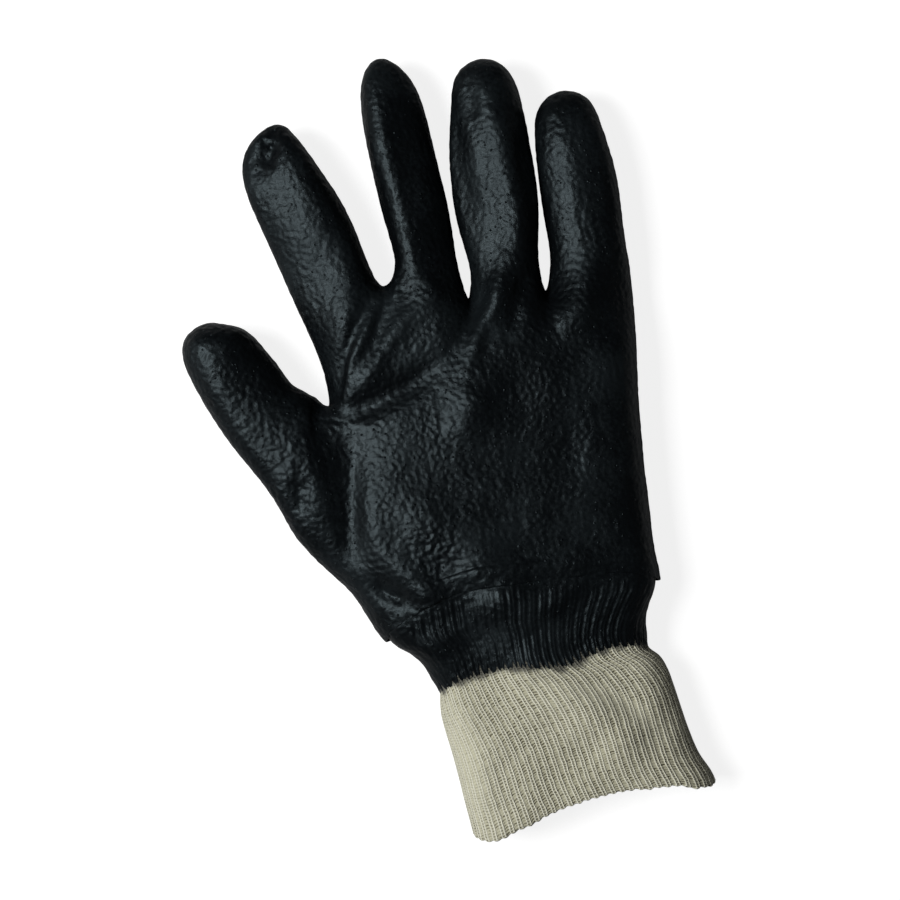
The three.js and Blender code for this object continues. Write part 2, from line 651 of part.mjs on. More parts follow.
// Lines round the wrist: y at a share of the way round.
const hemLine = (share) => roundValue(HEM_EDGE, share);
const dipLine = (share) => roundValue(DIP_LINE, share);
const cuffLine = (share) => roundValue(CUFF_EDGE, share);
const bandMiddle = (share) => THREE.MathUtils.lerp(hemLine(share), dipLine(share), BAND_MIDDLE);

// The coating on the upper part of the wrist, from inside the hem down to the dip line.
function coatedWrist(material) {
  const top = (share) => hemLine(share) + TUCK;
  const outerRows = [
    wristRing(OUTER_COLUMNS, top, 0, 0),
    wristRing(OUTER_COLUMNS, bandMiddle, 0, BAND_RIB_DEPTH),
    wristRing(OUTER_COLUMNS, dipLine, 0, BAND_RIB_DEPTH),
  ];
  const innerRows = [top, bandMiddle, dipLine].map((level) => wristRing(INNER_COLUMNS, level, BAND_WALL, 0));
  return tubeMesh("coated_wrist", outerRows, innerRows, material);
}

// The knit of the wrist, from inside the hem, under the coating and on to the open edge.
function knitWrist(material) {
  const covered = BAND_WALL + GAP;
  const top = (share) => hemLine(share) + TUCK;
  const full = (share) => dipLine(share) - DIP_STEP;
  const drawn = (share) => cuffLine(share) + EDGE_LENGTH;
  const rows = [
    { level: top, inset: covered, groove: 0 },
    { level: bandMiddle, inset: covered, groove: 0 },
    { level: (share) => dipLine(share) - GAP, inset: covered, groove: 0 },
    { level: full, inset: 0, groove: KNIT_RIB_DEPTH },
    { level: (share) => (3 * full(share) + drawn(share)) / 4, inset: 0, groove: KNIT_RIB_DEPTH },
    { level: (share) => (full(share) + drawn(share)) / 2, inset: 0, groove: KNIT_RIB_DEPTH },
    { level: drawn, inset: 0, groove: KNIT_RIB_DEPTH },
    { level: cuffLine, inset: EDGE_ROUNDING, groove: KNIT_RIB_DEPTH },
  ];
  const outerRows = rows.map((row) => {
    const columns = row.groove > 0 ? OUTER_COLUMNS : INNER_COLUMNS;
    return wristRing(columns, row.level, row.inset, row.groove);
  });
  const edge = rows[rows.length - 1];
  const lined = [...rows.slice(0, -2), edge];
  const innerRows = lined.map((row) => {
    const inset = KNIT_WALL + (row === edge ? 0 : row.inset);
    return wristRing(INNER_COLUMNS, row.level, inset, 0);
  });
  return tubeMesh("knit_wrist", outerRows, innerRows, material);
}

const coating = new THREE.MeshStandardMaterial({ color: 0x14191b, roughness: 0.45, metalness: 0 });
const cotton = new THREE.MeshStandardMaterial({ color: 0xe6e2cc, roughness: 0.95, metalness: 0 });

const glove = new THREE.Group();
glove.name = "pvc_coated_glove";
glove.add(coatedHand(coating), coatedWrist(coating.clone()), knitWrist(cotton));

export default glove;
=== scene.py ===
"""Looks of a knit-wrist glove of PVC-coated cloth, lying on its back with the palm up.

The tables are in millimetres and the meshes in metres. X runs from the thumb's side to the little
finger's, Y from the wrist to the fingertips and Z up out of the palm. The floor is z = 0.
"""

import bpy
import numpy as np
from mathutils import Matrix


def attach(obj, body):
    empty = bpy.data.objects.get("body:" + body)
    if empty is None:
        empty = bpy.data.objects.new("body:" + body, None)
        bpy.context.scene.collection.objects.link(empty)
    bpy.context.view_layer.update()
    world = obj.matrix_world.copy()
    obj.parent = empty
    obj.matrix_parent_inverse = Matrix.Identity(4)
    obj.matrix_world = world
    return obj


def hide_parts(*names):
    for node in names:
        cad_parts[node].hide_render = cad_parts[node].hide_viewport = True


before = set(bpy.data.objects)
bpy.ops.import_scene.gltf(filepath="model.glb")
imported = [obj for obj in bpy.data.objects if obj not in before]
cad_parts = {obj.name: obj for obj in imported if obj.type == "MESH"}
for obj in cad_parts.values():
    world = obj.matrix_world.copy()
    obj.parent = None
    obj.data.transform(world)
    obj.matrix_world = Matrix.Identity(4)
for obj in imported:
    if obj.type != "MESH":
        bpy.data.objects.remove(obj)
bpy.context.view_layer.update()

MM = 0.001
CENTRE = np.array([0.3, 0.7, 0.0])  # middle of the glove's box in plan, in the tables' coordinates


# Tables of the shape

def columns(names, rows):
    """Turns a short table into one array for each of its named columns."""
    values = np.array(rows, dtype=float)
    return {name: values[:, k] for k, name in enumerate(names.split())}


COATED_WALL = 1.8  # cloth and coating of the hand
GAP = 0.4  # between two pieces that are worn together
HEM_LENGTH = 5.5  # from the hem's edge to the fullest part of its roll
HEM_ROLL = 0.4  # how far that part stands out over the edge
TUCK = 4.5  # how far the wrist goes up inside the hand
STATIONS = 20  # evenly spaced round every ring, from the thumb's side over the palm
RIBS = 62  # each has two crests with a shallow line between them, and a deep groove after them

# Rings of the palm from the fingers down: both sides in plan, how far the middle bows towards the
# fingers, lowest and highest z, and how far the middle stands over the shoulders.
PALM = columns("left_x left_y right_x right_y bow under over crown", [
    [-35.2, 24.0, 77.6, 23.0, 3.5, -0.6, 28.0, 3.6],
    [-37.0, -1.0, 74.0, -1.0, 1.0, -0.8, 29.0, 3.8],
    [-41.5, -24.0, 71.2, -24.0, 1.5, -0.8, 29.5, 4.2],
    [-39.6, -46.8, 69.2, -47.0, 5.5, -0.6, 29.0, 4.6],
])

# Outer surface of the wrist from the hem down.
WRIST = columns("y left_x right_x under over crown", [
    [-44, -34.2, 66.2, 2.6, 27.4, 5.5],
    [-55, -33.4, 66.5, 2.6, 27.0, 5.5],
    [-62, -31.8, 66.7, 2.6, 26.6, 5.3],
    [-66, -29.1, 65.0, 2.4, 26.2, 5.0],
    [-70, -24.6, 62.6, 2.2, 25.8, 4.8],
    [-75, -21.2, 60.5, 1.9, 25.4, 4.5],
    [-80, -19.6, 59.9, 1.5, 25.0, 4.3],
    [-85, -17.9, 59.6, 1.1, 25.0, 4.2],
    [-89, -18.3, 62.7, 0.7, 25.6, 4.2],
    [-94, -18.8, 64.5, 0.3, 26.2, 4.4],
    [-100, -18.5, 65.4, 0.0, 26.7, 4.6],
    [-108, -17.8, 66.3, 0.0, 27.0, 4.8],
    [-117, -17.3, 67.4, 0.0, 27.0, 4.8],
    [-126, -17.0, 69.2, 0.0, 26.8, 4.6],
    [-134, -16.6, 72.4, 0.0, 26.4, 4.4],
    [-142, -16.2, 73.8, 0.0, 26.0, 4.2],
])

# y of three lines round the wrist at the stations: over the palm (11 values), then over the back.
HEM_EDGE = np.array([
    -63.8, -60.2, -55.0, -51.6, -51.0, -51.6, -52.8, -54.4, -56.0, -59.2, -62.2,
    -61.6, -60.4, -60.0, -60.0, -60.0, -60.0, -60.5, -61.2, -63.0,
])
DIP_LINE = np.array([
    -85.2, -83.4, -82.0, -81.2, -81.6, -83.8, -84.4, -82.6, -81.8, -82.8, -84.6,
    -84.6, -84.2, -84.0, -84.0, -84.0, -84.0, -84.2, -84.6, -85.0,
])
CUFF_EDGE = np.array([
    -138.4, -140.7, -139.2, -136.4, -133.9, -132.7, -132.6, -133.4, -134.9, -137.8, -137.5,
    -136.5, -134.0, -133.0, -132.5, -132.5, -133.0, -134.0, -136.0, -138.5,
])

# How far the ribs have gone round the wrist by a given y, as a share of the way round. slip is how
# much nearer to the two edges those between the edges and the middle lie.
RIB_TWIST = columns("y share slip", [
    [-50, 0.032, 0.0],
    [-58, 0.026, 0.0],
    [-68, 0.012, 0.001],
    [-78, 0.001, 0.003],
    [-84, 0.002, 0.006],
    [-90, 0.011, 0.009],
    [-100, 0.025, 0.008],
    [-112, 0.03, 0.003],
    [-126, 0.03, 0.0],
    [-142, 0.029, -0.002],
])

# The row where the palm divides into fingers: over is z on the palm, under z on the back.
ROOTS = columns("x y over under", [
    [-31.5, 42.5, 19.5, 2.2],
    [-21.0, 51.5, 25.5, -0.4],
    [-6.5, 56.5, 21.5, 2.6],
    [8.5, 55.5, 26.5, -0.5],
    [21.8, 45.8, 21.5, 2.6],
    [36.0, 49.5, 26.5, -0.5],
    [49.7, 42.8, 21.0, 2.6],
    [64.5, 46.5, 24.5, -0.4],
    [76.0, 42.5, 18.5, 2.2],
])

# Beside and between the fingers, from the index finger's outer side to the little finger's.
CROTCHES = np.array([
    [-35.0, 40.0, 10.5],
    [-6.2, 61.8, 12.0],
    [22.0, 51.0, 12.0],
    [49.7, 48.0, 11.5],
    [80.5, 43.5, 10.0],
])

# Rings of the fingers and the thumb from the root to the tip: both sides in plan, lowest and
# highest z. The tip is the centre of the last ring.
RING_COLUMNS = "left_x left_y right_x right_y under over"
INDEX_FINGER = columns(RING_COLUMNS, [
    [-38.2, 56.5, -10.2, 67.5, 0.0, 24.0],
    [-41.8, 73.0, -12.7, 83.0, 0.9, 23.5],
    [-45.8, 91.5, -16.9, 98.0, 2.0, 23.5],
    [-48.2, 109.0, -22.1, 111.0, 4.0, 23.0],
    [-44.4, 120.8, -27.0, 121.0, 7.5, 20.5],
])
MIDDLE_FINGER = columns(RING_COLUMNS, [
    [-1.5, 69.0, 20.8, 61.5, 0.0, 24.5],
    [-1.8, 84.0, 21.5, 81.0, 0.4, 23.8],
    [-2.2, 102.0, 21.2, 101.0, 1.0, 23.5],
    [-2.1, 119.5, 20.4, 119.0, 2.2, 23.0],
    [0.2, 134.2, 17.6, 133.2, 5.5, 20.5],
])
RING_FINGER = columns(RING_COLUMNS, [
    [24.6, 60.5, 49.6, 60.0, 0.0, 24.8],
    [23.8, 77.0, 53.3, 77.5, 0.5, 24.8],
    [25.2, 98.0, 54.8, 97.0, 1.2, 25.0],
    [29.2, 116.5, 55.2, 115.0, 2.5, 24.2],
    [33.8, 129.6, 52.8, 128.6, 6.0, 21.0],
])
LITTLE_FINGER = columns(RING_COLUMNS, [
    [53.5, 58.5, 81.4, 56.5, 0.0, 22.8],
    [54.6, 72.0, 82.8, 71.5, 0.3, 22.6],
    [55.7, 88.0, 83.4, 87.0, 0.8, 22.6],
    [57.4, 102.0, 81.8, 102.0, 2.0, 22.0],
    [60.7, 112.2, 78.4, 113.0, 5.5, 18.8],
])
THUMB = columns(RING_COLUMNS, [
    [-46.8, -35.8, -38.2, 26.6, 0.6, 26.0],
    [-56.2, -20.4, -40.4, 28.8, 1.2, 27.0],
    [-61.4, -5.0, -43.4, 31.3, 1.8, 26.6],
    [-70.1, 12.5, -47.0, 34.6, 2.4, 26.0],
    [-76.8, 27.8, -50.0, 41.4, 3.0, 26.0],
    [-80.3, 39.0, -53.5, 48.2, 3.8, 26.5],
    [-82.7, 52.0, -58.6, 55.8, 5.4, 26.0],
    [-79.0, 59.2, -64.2, 59.6, 9.0, 22.5],
])
# Each finger with its tip and its lean: how far the right shoulder of its rings stands over the
# left one, as a share of their height.
FINGERS = [
    (INDEX_FINGER, [-33.4, 126.4, 14.0], 0.24),
    (MIDDLE_FINGER, [8.4, 141.9, 13.0], -0.16),
    (RING_FINGER, [44.0, 134.4, 13.5], 0.14),
    (LITTLE_FINGER, [69.2, 117.2, 12.0], 0.06),
]
THUMB_TIP = [-71.6, 61.9, 16.0]
THUMB_LEAN = 0.02

# Folds, dents and rises of the palm's side: path in plan, width to either side, rise at its
# strongest. FOLDS shape both faces of the hand, FINE_FOLDS its outer face alone.
HEM_RISE = ([[11, -46], [13, -60], [14, -74], [13, -92]], 15.0, 3.0)  # on the hand and on the wrist
THUMB_HEEL = [
    [-25, 12], [-27.5, -6], [-28.5, -20], [-27.5, -30],
    [-23, -38], [-17, -46], [-11, -53], [-3, -62],
]
FOLDS = [
    ([[-29, 17], [-30, 3], [-34, -14], [-39, -30], [-39, -42]], 6.0, -0.9),
    (THUMB_HEEL, 8.0, 1.9),
    ([[-18, -8], [-6, -26], [3, -40], [9, -52]], 17.0, 2.0),
    HEM_RISE,
    ([[-6, 60], [-5, 48], [-6, 36]], 9.0, 1.6),
    ([[-32.5, 23], [-27, 37], [-20, 48], [-14, 56]], 3.6, -1.8),
    ([[-29, 25], [-23.6, 38], [-16, 47.6], [-9.4, 56.5]], 3.0, 1.2),
    ([[-10, 52], [-14, 41], [-20, 34]], 3.4, -1.0),
    ([[-26, 26], [-16, 34.6], [-9, 42], [-2, 47.6], [10, 54]], 4.6, 1.5),
    ([[-31, 20], [-20, 20.5], [-4, 25], [12, 32.5]], 6.4, -2.5),
    ([[27, 50], [19, 41], [12, 34]], 4.0, -1.0),
    ([[37, 62], [31, 47], [23.7, 39], [16, 26]], 4.2, 1.9),
    ([[46, 56], [39, 46], [33, 34]], 5.0, -1.8),
    ([[6, 0], [12, 10], [20, 20]], 11.0, 2.2),
    ([[20, -8], [55, -12]], 13.0, -1.4),
    ([[48, 36], [68, 40]], 8.0, 1.2),
    ([[-34, -42], [-28, -47], [-21, -50.5]], 5.0, -2.6),
    ([[-76, 52], [-73.5, 38], [-66.5, 16], [-58, -5], [-50, -22]], 8.0, 1.3),
    ([[-50, 1], [-53, -13]], 5.5, -2.2),
    ([[-41, 111], [-37.5, 117], [-34.5, 121]], 5.0, -3.2),
    ([[43, 122], [45, 100], [45.5, 78], [42, 60]], 6.5, 1.6),
    ([[51, 118], [51.5, 100], [50.5, 80]], 4.5, -1.0),
    ([[29.5, 118], [28.5, 96], [29, 74]], 6.0, -1.8),
    ([[4, 124], [3.5, 100], [3.5, 78]], 6.5, 1.4),
    ([[67, 108], [67, 88], [66, 68]], 8.0, 1.0),
]
FINE_FOLDS = [
    ([[-28.6, 27], [-22.8, 38.6], [-15.4, 48.2], [-9, 56.5]], 1.3, 0.6),
    ([[-1.6, 66], [-1.8, 60], [-4.5, 54]], 1.6, 1.0),
    ([[38, 125], [36.5, 112]], 4.0, -0.8),
    ([[-42, 119], [-38.6, 122.6]], 2.4, 0.7),
]
FOLD_ENDS = 0.35  # what is left of a fold at the ends of its path
FOLD_RUN_IN = 0.3  # share of its path over which a fold grows to its full rise
FOLD_STEEPNESS = 2.0  # how fast a fold falls off to its sides
FADE_FROM = 0.1  # z of the unit normal where the folds start to act
FADE_TO = 0.6  # z of the unit normal from which they act in full
FINGER_SHOULDER = 0.74  # how full a finger's ring is, half way between its side and its top
FIT_STEPS = 80  # rounds that bring the smooth surface onto the points of the tables
OUTER_ROUNDS = 4  # of subdivision, for the outside of the hand
INNER_ROUNDS = 2

# Unevenness of the dipped skin: height and length of its soft lumps and of its pebbles.
LUMP_HEIGHT = 0.16
LUMP_SIZE = 21.0
PEBBLE_HEIGHT = 0.085
PEBBLE_SIZE = 3.3

# Where the skin is most pebbly: a place in plan, the radius round it and the strength.
PEBBLED = columns("x y radius strength", [
    [-12, -36, 17, 1.0],
    [-52, -8, 18, 1.0],
    [0, 8, 17, 0.8],
    [-72, 42, 14, 0.45],
    [36, 74, 12, 0.6],
    [-27, 62, 14, 0.35],
    [66, 52, 13, 0.45],
    [50, -10, 16, 0.35],
])
PEBBLES_ELSEWHERE = 0.6

# The hem's lip: its radius, and how far it goes back up inside
LIP_RADIUS = 0.3
LIP_RETURN = 3.0
LIP_ROWS = 6

# Ribs of the wrist
RIB_COLUMNS = 16  # across each rib
STARTS = np.arange(RIBS * RIB_COLUMNS) / (RIBS * RIB_COLUMNS)  # shares of the way round
RIB_LINE = 0.3  # depth of the line between a rib's two crests, as a share of the groove's
RIB_APART = 0.18  # from the line between a rib's crests to each of them, in ribs
BAND_RIB_DEPTH = 0.34
BAND_THICKNESS = 0.5
BAND_SWELL = 2.15  # how far the coating stands out under the hem on the palm's side
SWELL_RISE = (-2.6, -0.3)  # it rises between these distances below the hem
SWELL_FADE = (2, 24)  # and fades out between these
BAND_RIBS_GROW = (0.3, 6)  # the band's ribs grow deeper between these distances below the hem
BAND_RIBS_START = (0.02, 0.11)  # and between these shares of the way round from the thumb's side
BAND_RIBS_FAINT = (0.22, 0.42)  # they grow fainter between these shares
BAND_EDGE_THIN = 1.4  # the coating thins out over this distance above its lower edge
BAND_HEIGHT = 28.0
BAND_SHARPNESS = 3.0
KNIT_SHARPNESS = 6.0
ROUND_WRIST = 200  # about the way round the wrist, for the random lumps of the band
KNIT_RIB_DEPTH = 0.17
KNIT_WALL = 1.3
SKIN_DEPTH = 0.22  # how far the knit's ribs lie under the coating at the dip line
COURSE = 0.95  # height of one course of stitches

# Folds of the wrist, as for the hand, and where its ribs lie closed up.
CUFF_FOLDS = [
    ([[17, -86], [29, -97], [39, -109], [51, -128]], 13.0, 5.0),
    HEM_RISE,
    ([[24, -90], [38, -95], [47, -102], [54, -110]], 3.6, -0.7),
    ([[14, -94], [26, -108], [40, -122]], 6.0, -0.3),
    ([[-8, -96], [4, -112], [10, -130]], 7.0, 0.3),
]
CLOSED_RIBS = [
    ([[20, -89.5], [37, -96], [46, -102.5], [52, -108], [57, -117]], 5.0, 0.85),
    ([[-17, -88], [-16, -110], [-15, -138]], 15.0, 0.9),
]


# Curves and rings

def value_at(table, key, y):
    """Column key of a table at y: cubic pieces through the rows, which are sorted by falling y.

    On each piece the value is h00 a + h01 b + h10 slope_a + h11 slope_b, with the Hermite blends h
    and the slopes that each row's two neighbours have between them.
    """
    level = table["y"]
    value = table[key]
    last = len(level) - 1
    i = np.clip(np.searchsorted(-level[1:], -np.asarray(y)), 0, last - 1)
    before = np.maximum(i - 1, 0)
    after = np.minimum(i + 2, last)
    span = level[i + 1] - level[i]
    t = np.clip((y - level[i]) / span, 0, 1)
    slope_a = span * (value[i + 1] - value[before]) / (level[i + 1] - level[before])
    slope_b = span * (value[after] - value[i]) / (level[after] - level[i])
    keep = (1 + 2 * t) * (1 - t) ** 2 * value[i] + t * t * (3 - 2 * t) * value[i + 1]
    return keep + t * (1 - t) ** 2 * slope_a - t * t * (1 - t) * slope_b


def round_value(values, share):
    """Value at a share of the way round a closed Catmull-Rom curve through evenly spaced values."""
    count = len(values)
    place = np.mod(share, 1.0) * count
    i = np.floor(place).astype(int) % count
    t = place - np.floor(place)
    a, b, c, d = (values[(i + step) % count] for step in (-1, 0, 1, 2))
    return b + 0.5 * t * (c - a + t * (2 * a - 5 * b + 4 * c - d + t * (3 * (b - c) + d - a)))


def ring_points(row, share, outset=0.0):
    """Points of a flattened ring at shares of the way round, from its left side over the top.

    Two straight runs joined by half circles of one radius, walked at an even pace. The upper half
    gets crown times one minus the squared distance from the middle, and y bows in the same way.
    """
    radius = (row["over"] - row["crown"] - row["under"]) / 2 + outset
    half = (row["right_x"] - row["left_x"]) / 2 + outset
    run = 2 * (half - radius)
    quarter = np.pi * radius / 2
    turned = np.mod(share, 1.0)
    upper = turned <= 0.5
    way = np.where(upper, turned, 1 - turned) * (2 * run + 4 * quarter)
    rest = (2 * quarter + run - way) / radius
    start = way < quarter
    straight = (way >= quarter) & (way < quarter + run)
    first_x = radius * (1 - np.cos(way / radius)) - half
    bend_x = np.where(start, first_x, half - radius * (1 - np.cos(rest)))
    bend_z = np.where(start, radius * np.sin(way / radius), radius * np.sin(rest))
    across = np.where(straight, way - quarter - half + radius, bend_x)
    up = np.where(straight, radius, bend_z)
    bulge = 1 - (across / half) ** 2
    lift = np.where(upper, up + row["crown"] * bulge * up / radius, -up)
    tilt = (row["right_y"] - row["left_y"]) / (2 * half)
    x = (row["left_x"] + row["right_x"]) / 2 + across
    y = (row["left_y"] + row["right_y"]) / 2 + tilt * across + row["bow"] * bulge
    z = row["under"] - outset + radius + lift
    return np.stack([x, y, z], axis=-1)


def wrist_points(share, y, outset):
    """Points of the wrist's outer surface at shares of the way round and at y, moved outward."""
    row = {name: value_at(WRIST, name, y) for name in WRIST if name != "y"}
    row.update(left_y=y, right_y=y, bow=0.0, under=np.maximum(row["under"], 0))
    return ring_points(row, share, outset)


# Smooth surfaces over a frame of four-sided faces

def cross_ring(row, corners, lean):
    """Points of a finger's ring: its sides and its height scaled by corners between -1 and 1.

    The upper corners rise by lean times their place across, times half of the height.
    """
    across, up = corners[:, 0], corners[:, 1]
    share = (1 + across) / 2
    x = row["left_x"] + (row["right_x"] - row["left_x"]) * share
    y = row["left_y"] + (row["right_y"] - row["left_y"]) * share
    turned = up + np.where(up > 0, lean * across, 0)
    z = (row["over"] + row["under"]) / 2 + (row["over"] - row["under"]) / 2 * turned
    return np.stack([x, y, z], axis=-1)


def row_of(table, k):
    """One row of a table of columns."""
    return {name: values[k] for name, values in table.items()}


def hand_frame():
    """Corners and faces of the hand: rings round the palm, with fingers and thumb growing out."""
    blocks = []
    faces = []

    def add(block):
        """Keeps new corners and returns their numbers."""
        start = sum(len(kept) for kept in blocks)
        blocks.append(np.atleast_2d(block))
        return np.arange(start, start + len(blocks[-1]))

    def grow(ring, table, corners, tip, lean):
        """Joins ring to ring and closes the last one round the tip."""
        for k in range(len(table["over"])):
            further = add(cross_ring(row_of(table, k), corners, lean))
            faces.append(np.stack([ring, np.roll(ring, -1), np.roll(further, -1), further], axis=1))
            ring = further
        centre = np.repeat(add(np.array(tip)), len(ring) // 2)
        faces.append(np.stack([ring[::2], ring[1::2], np.roll(ring, -2)[::2], centre], axis=1))

    palm_side = np.stack([ROOTS["x"], ROOTS["y"], ROOTS["over"]], axis=1)
    back_side = np.stack([ROOTS["x"], ROOTS["y"], ROOTS["under"]], axis=1)[::-1]
    roots = add(np.vstack([CROTCHES[:1], palm_side, CROTCHES[-1:], back_side]))
    shares = np.arange(STATIONS) / STATIONS
    rings = [roots]
    rows = len(PALM["over"])
    for k in range(rows):
        points = ring_points(row_of(PALM, k), shares)
        taken = 0 < k < rows - 1  # the thumb takes this row's left side
        rings.append(np.concatenate([[-1], add(points[1:])]) if taken else add(points))
    hem = COATED_WALL + GAP
    for above, outset in ((HEM_LENGTH, hem + HEM_ROLL), (0.0, hem)):
        rings.append(add(wrist_points(shares, HEM_EDGE + above, outset)))
    for k in range(len(rings) - 1):
        upper, lower = rings[k], rings[k + 1]
        band = np.stack([upper, lower, np.roll(lower, -1), np.roll(upper, -1)], axis=1)
        faces.append(band[1:-1] if 0 < k < rows else band)

    s = FINGER_SHOULDER
    eighths = np.array([[-1, 0], [-s, s], [0, 1], [s, s], [1, 0], [s, -s], [0, -1], [-s, -s]])
    crotches = [roots[0], *add(CROTCHES[1:-1]), roots[STATIONS // 2]]
    for k, (table, tip, lean) in enumerate(FINGERS):
        top = 2 * k + 1
        bottom = STATIONS - top
        ring = [crotches[k], roots[top], roots[top + 1], roots[top + 2], crotches[k + 1]]
        ring += [roots[bottom - 2], roots[bottom - 1], roots[bottom % STATIONS]]
        grow(np.array(ring), table, eighths, tip, lean)
    upper_side = [rings[k][1] for k in range(rows, 0, -1)]
    lower_side = [rings[k][-1] for k in range(1, rows + 1)]
    ring = np.array([rings[rows][0], *upper_side, rings[1][0], *lower_side])
    angle = np.pi - 2 * np.pi * np.arange(len(ring)) / len(ring)
    grow(ring, THUMB, np.stack([np.cos(angle), np.sin(angle)], axis=1), THUMB_TIP, THUMB_LEAN)
    return np.vstack(blocks), np.vstack(faces)


def scatter(index, values, count):
    """Adds up the rows of values that share an index."""
    sums = [np.bincount(index.ravel(), weights=column, minlength=count) for column in values.T]
    return np.stack(sums, axis=1)


def sides_of(faces, count):
    """Ends of every edge, the edges of every face, and how many faces use each edge."""
    after = np.roll(faces, -1, axis=1)
    key = np.minimum(faces, after) * count + np.maximum(faces, after)
    found, number, uses = np.unique(key.ravel(), return_inverse=True, return_counts=True)
    return np.stack([found // count, found % count], axis=1), number.reshape(-1, 4), uses


def around_points(points, faces):
    """What sides_of finds, and for every corner its edge count, the sum of its edge neighbours,
    and the same two for its edges on the rim alone."""
    count = len(points)
    ends, number, uses = sides_of(faces, count)
    both = np.concatenate([ends[:, 0], ends[:, 1]])
    other = points[np.concatenate([ends[:, 1], ends[:, 0]])]
    valence = np.bincount(both, minlength=count)[:, None]
    rim = np.concatenate([uses, uses]) == 1
    rim_count = np.bincount(both[rim], minlength=count)[:, None]
    edge_sum = scatter(both, other, count)
    rim_sum = scatter(both[rim], other[rim], count)
    return ends, number, uses, valence, edge_sum, rim_count, rim_sum


def limit_points(points, faces):
    """Where the corners lie on the smooth limit surface of Catmull and Clark.

    (n n P + 4 sum of edge neighbours + sum of opposite corners) / (n (n + 5)), and on the rim
    (4 P + sum of the two rim neighbours) / 6.
    """
    _, _, _, n, edge_sum, rim_count, rim_sum = around_points(points, faces)
    opposite = scatter(faces, points[np.roll(faces, -2, axis=1)].reshape(-1, 3), len(points))
    inside = (n * n * points + 4 * edge_sum + opposite) / (n * (n + 5))
    return np.where(rim_count == 2, (4 * points + rim_sum) / 6, inside)


def fitted(points, faces):
    """The frame whose smooth limit surface passes through the given corners, by repeated correction."""
    moved = points.copy()
    for _ in range(FIT_STEPS):
        moved += points - limit_points(moved, faces)
    return moved


def subdivided(points, faces):
    """One round of Catmull and Clark: every four-sided face becomes four."""
    count = len(points)
    ends, number, uses, n, edge_sum, rim_count, rim_sum = around_points(points, faces)
    centres = points[faces].mean(axis=1)
    centre_sum = scatter(faces, np.repeat(centres, 4, axis=0), count)
    inside = (n * (n - 2) * points + edge_sum + centre_sum) / (n * n)
    corners = np.where(rim_count == 2, (6 * points + rim_sum) / 8, inside)
    along = points[ends].sum(axis=1)
    beside = scatter(number, np.repeat(centres, 4, axis=0), len(ends))
    middles = np.where(uses[:, None] == 2, (along + beside) / 4, along / 2)
    first = count + number
    second = count + np.roll(number, 1, axis=1)
    centre = np.repeat(count + len(ends) + np.arange(len(faces)), 4)
    made = np.stack([faces.ravel(), first.ravel(), centre, second.ravel()], axis=1)
    return np.vstack([corners, middles, centres]), made


def normals_of(points, faces):
    """Unit normals at the points: the sum of the cross products of their faces' diagonals."""
    a, b, c, d = (points[faces[:, k]] for k in range(4))
    face_normals = np.cross(c - a, d - b)
    sums = scatter(faces, np.repeat(face_normals, 4, axis=0), len(points))
    return sums / np.linalg.norm(sums, axis=1, keepdims=True)


def ease(value, low, high):
    """0 below low, 1 above high, and 3tt - 2ttt between them."""
    t = np.clip((value - low) / (high - low), 0, 1)
    return t * t * (3 - 2 * t)


def fold_rise(x, y, folds):
    """Height of all folds at places in plan.

    Each is its rise times exp(-2 dd), d being the distance from its path over its width, and times
    a taper that grows smoothly from FOLD_ENDS at its ends to 1.
    """
    total = np.zeros_like(x)
    for path, width, rise in folds:
        path = np.array(path, dtype=float)
        strength = np.zeros_like(x)
        for k, (start, step) in enumerate(zip(path, np.diff(path, axis=0))):
            along = ((x - start[0]) * step[0] + (y - start[1]) * step[1]) / (step @ step)
            along = np.clip(along, 0, 1)
            away = np.hypot(x - start[0] - along * step[0], y - start[1] - along * step[1]) / width
            share = (k + along) / (len(path) - 1)
            from_end = np.minimum(share, 1 - share)
            taper = FOLD_ENDS + (1 - FOLD_ENDS) * ease(from_end, 0, FOLD_RUN_IN)
            strength = np.maximum(strength, taper * np.exp(-FOLD_STEEPNESS * away * away))
        total += rise * strength
    return total


def waves(points, size, count, seed):
    """Soft random lumps of about unit height: the sum of count plane waves of random directions
    and phases, each 0.7 to 1.4 times as long as size."""
    random = np.random.default_rng(seed)
    heading = random.normal(size=(count, 3))
    heading /= np.linalg.norm(heading, axis=1, keepdims=True)
    length = size * random.uniform(0.7, 1.4, count)
    phase = random.uniform(0, 2 * np.pi, count)
    total = np.sin(points @ (heading * (2 * np.pi / length)[:, None]).T + phase).sum(axis=-1)
    return total * np.sqrt(2 / count)


def pebbled(points):
    """How pebbly the skin is at each point: the strongest of the table's places, each falling off as
    exp(-dd) with the distance d over its radius, and never less than PEBBLES_ELSEWHERE."""
    away_x = points[:, :1] - PEBBLED["x"]
    away_y = points[:, 1:2] - PEBBLED["y"]
    near = PEBBLED["strength"] * np.exp(-(away_x ** 2 + away_y ** 2) / PEBBLED["radius"] ** 2)
    return np.maximum(near.max(axis=1), PEBBLES_ELSEWHERE)


def hand_surface(rounds, folds):
    """Points, faces and normals of the hand's outer surface after some rounds of subdivision.

    The limit surface through the tables, raised by the folds where it faces up and by soft lumps
    and pebbles all over, and pressed flat where it meets the floor.
    """
    points, faces = hand_frame()
    points = fitted(points, faces)
    for _ in range(rounds):
        points, faces = subdivided(points, faces)
    points = limit_points(points, faces)
    normals = normals_of(points, faces)
    upper = ease(normals[:, 2], FADE_FROM, FADE_TO)
    rise = upper * fold_rise(points[:, 0], points[:, 1], folds)
    rise += LUMP_HEIGHT * waves(points, LUMP_SIZE, count=14, seed=3)
    rise += PEBBLE_HEIGHT * pebbled(points) * waves(points, PEBBLE_SIZE, count=40, seed=5)
    points = points + normals * rise[:, None]
    points[:, 2] = np.maximum(points[:, 2], 0)
    return points, faces, normals_of(points, faces)


# Meshes

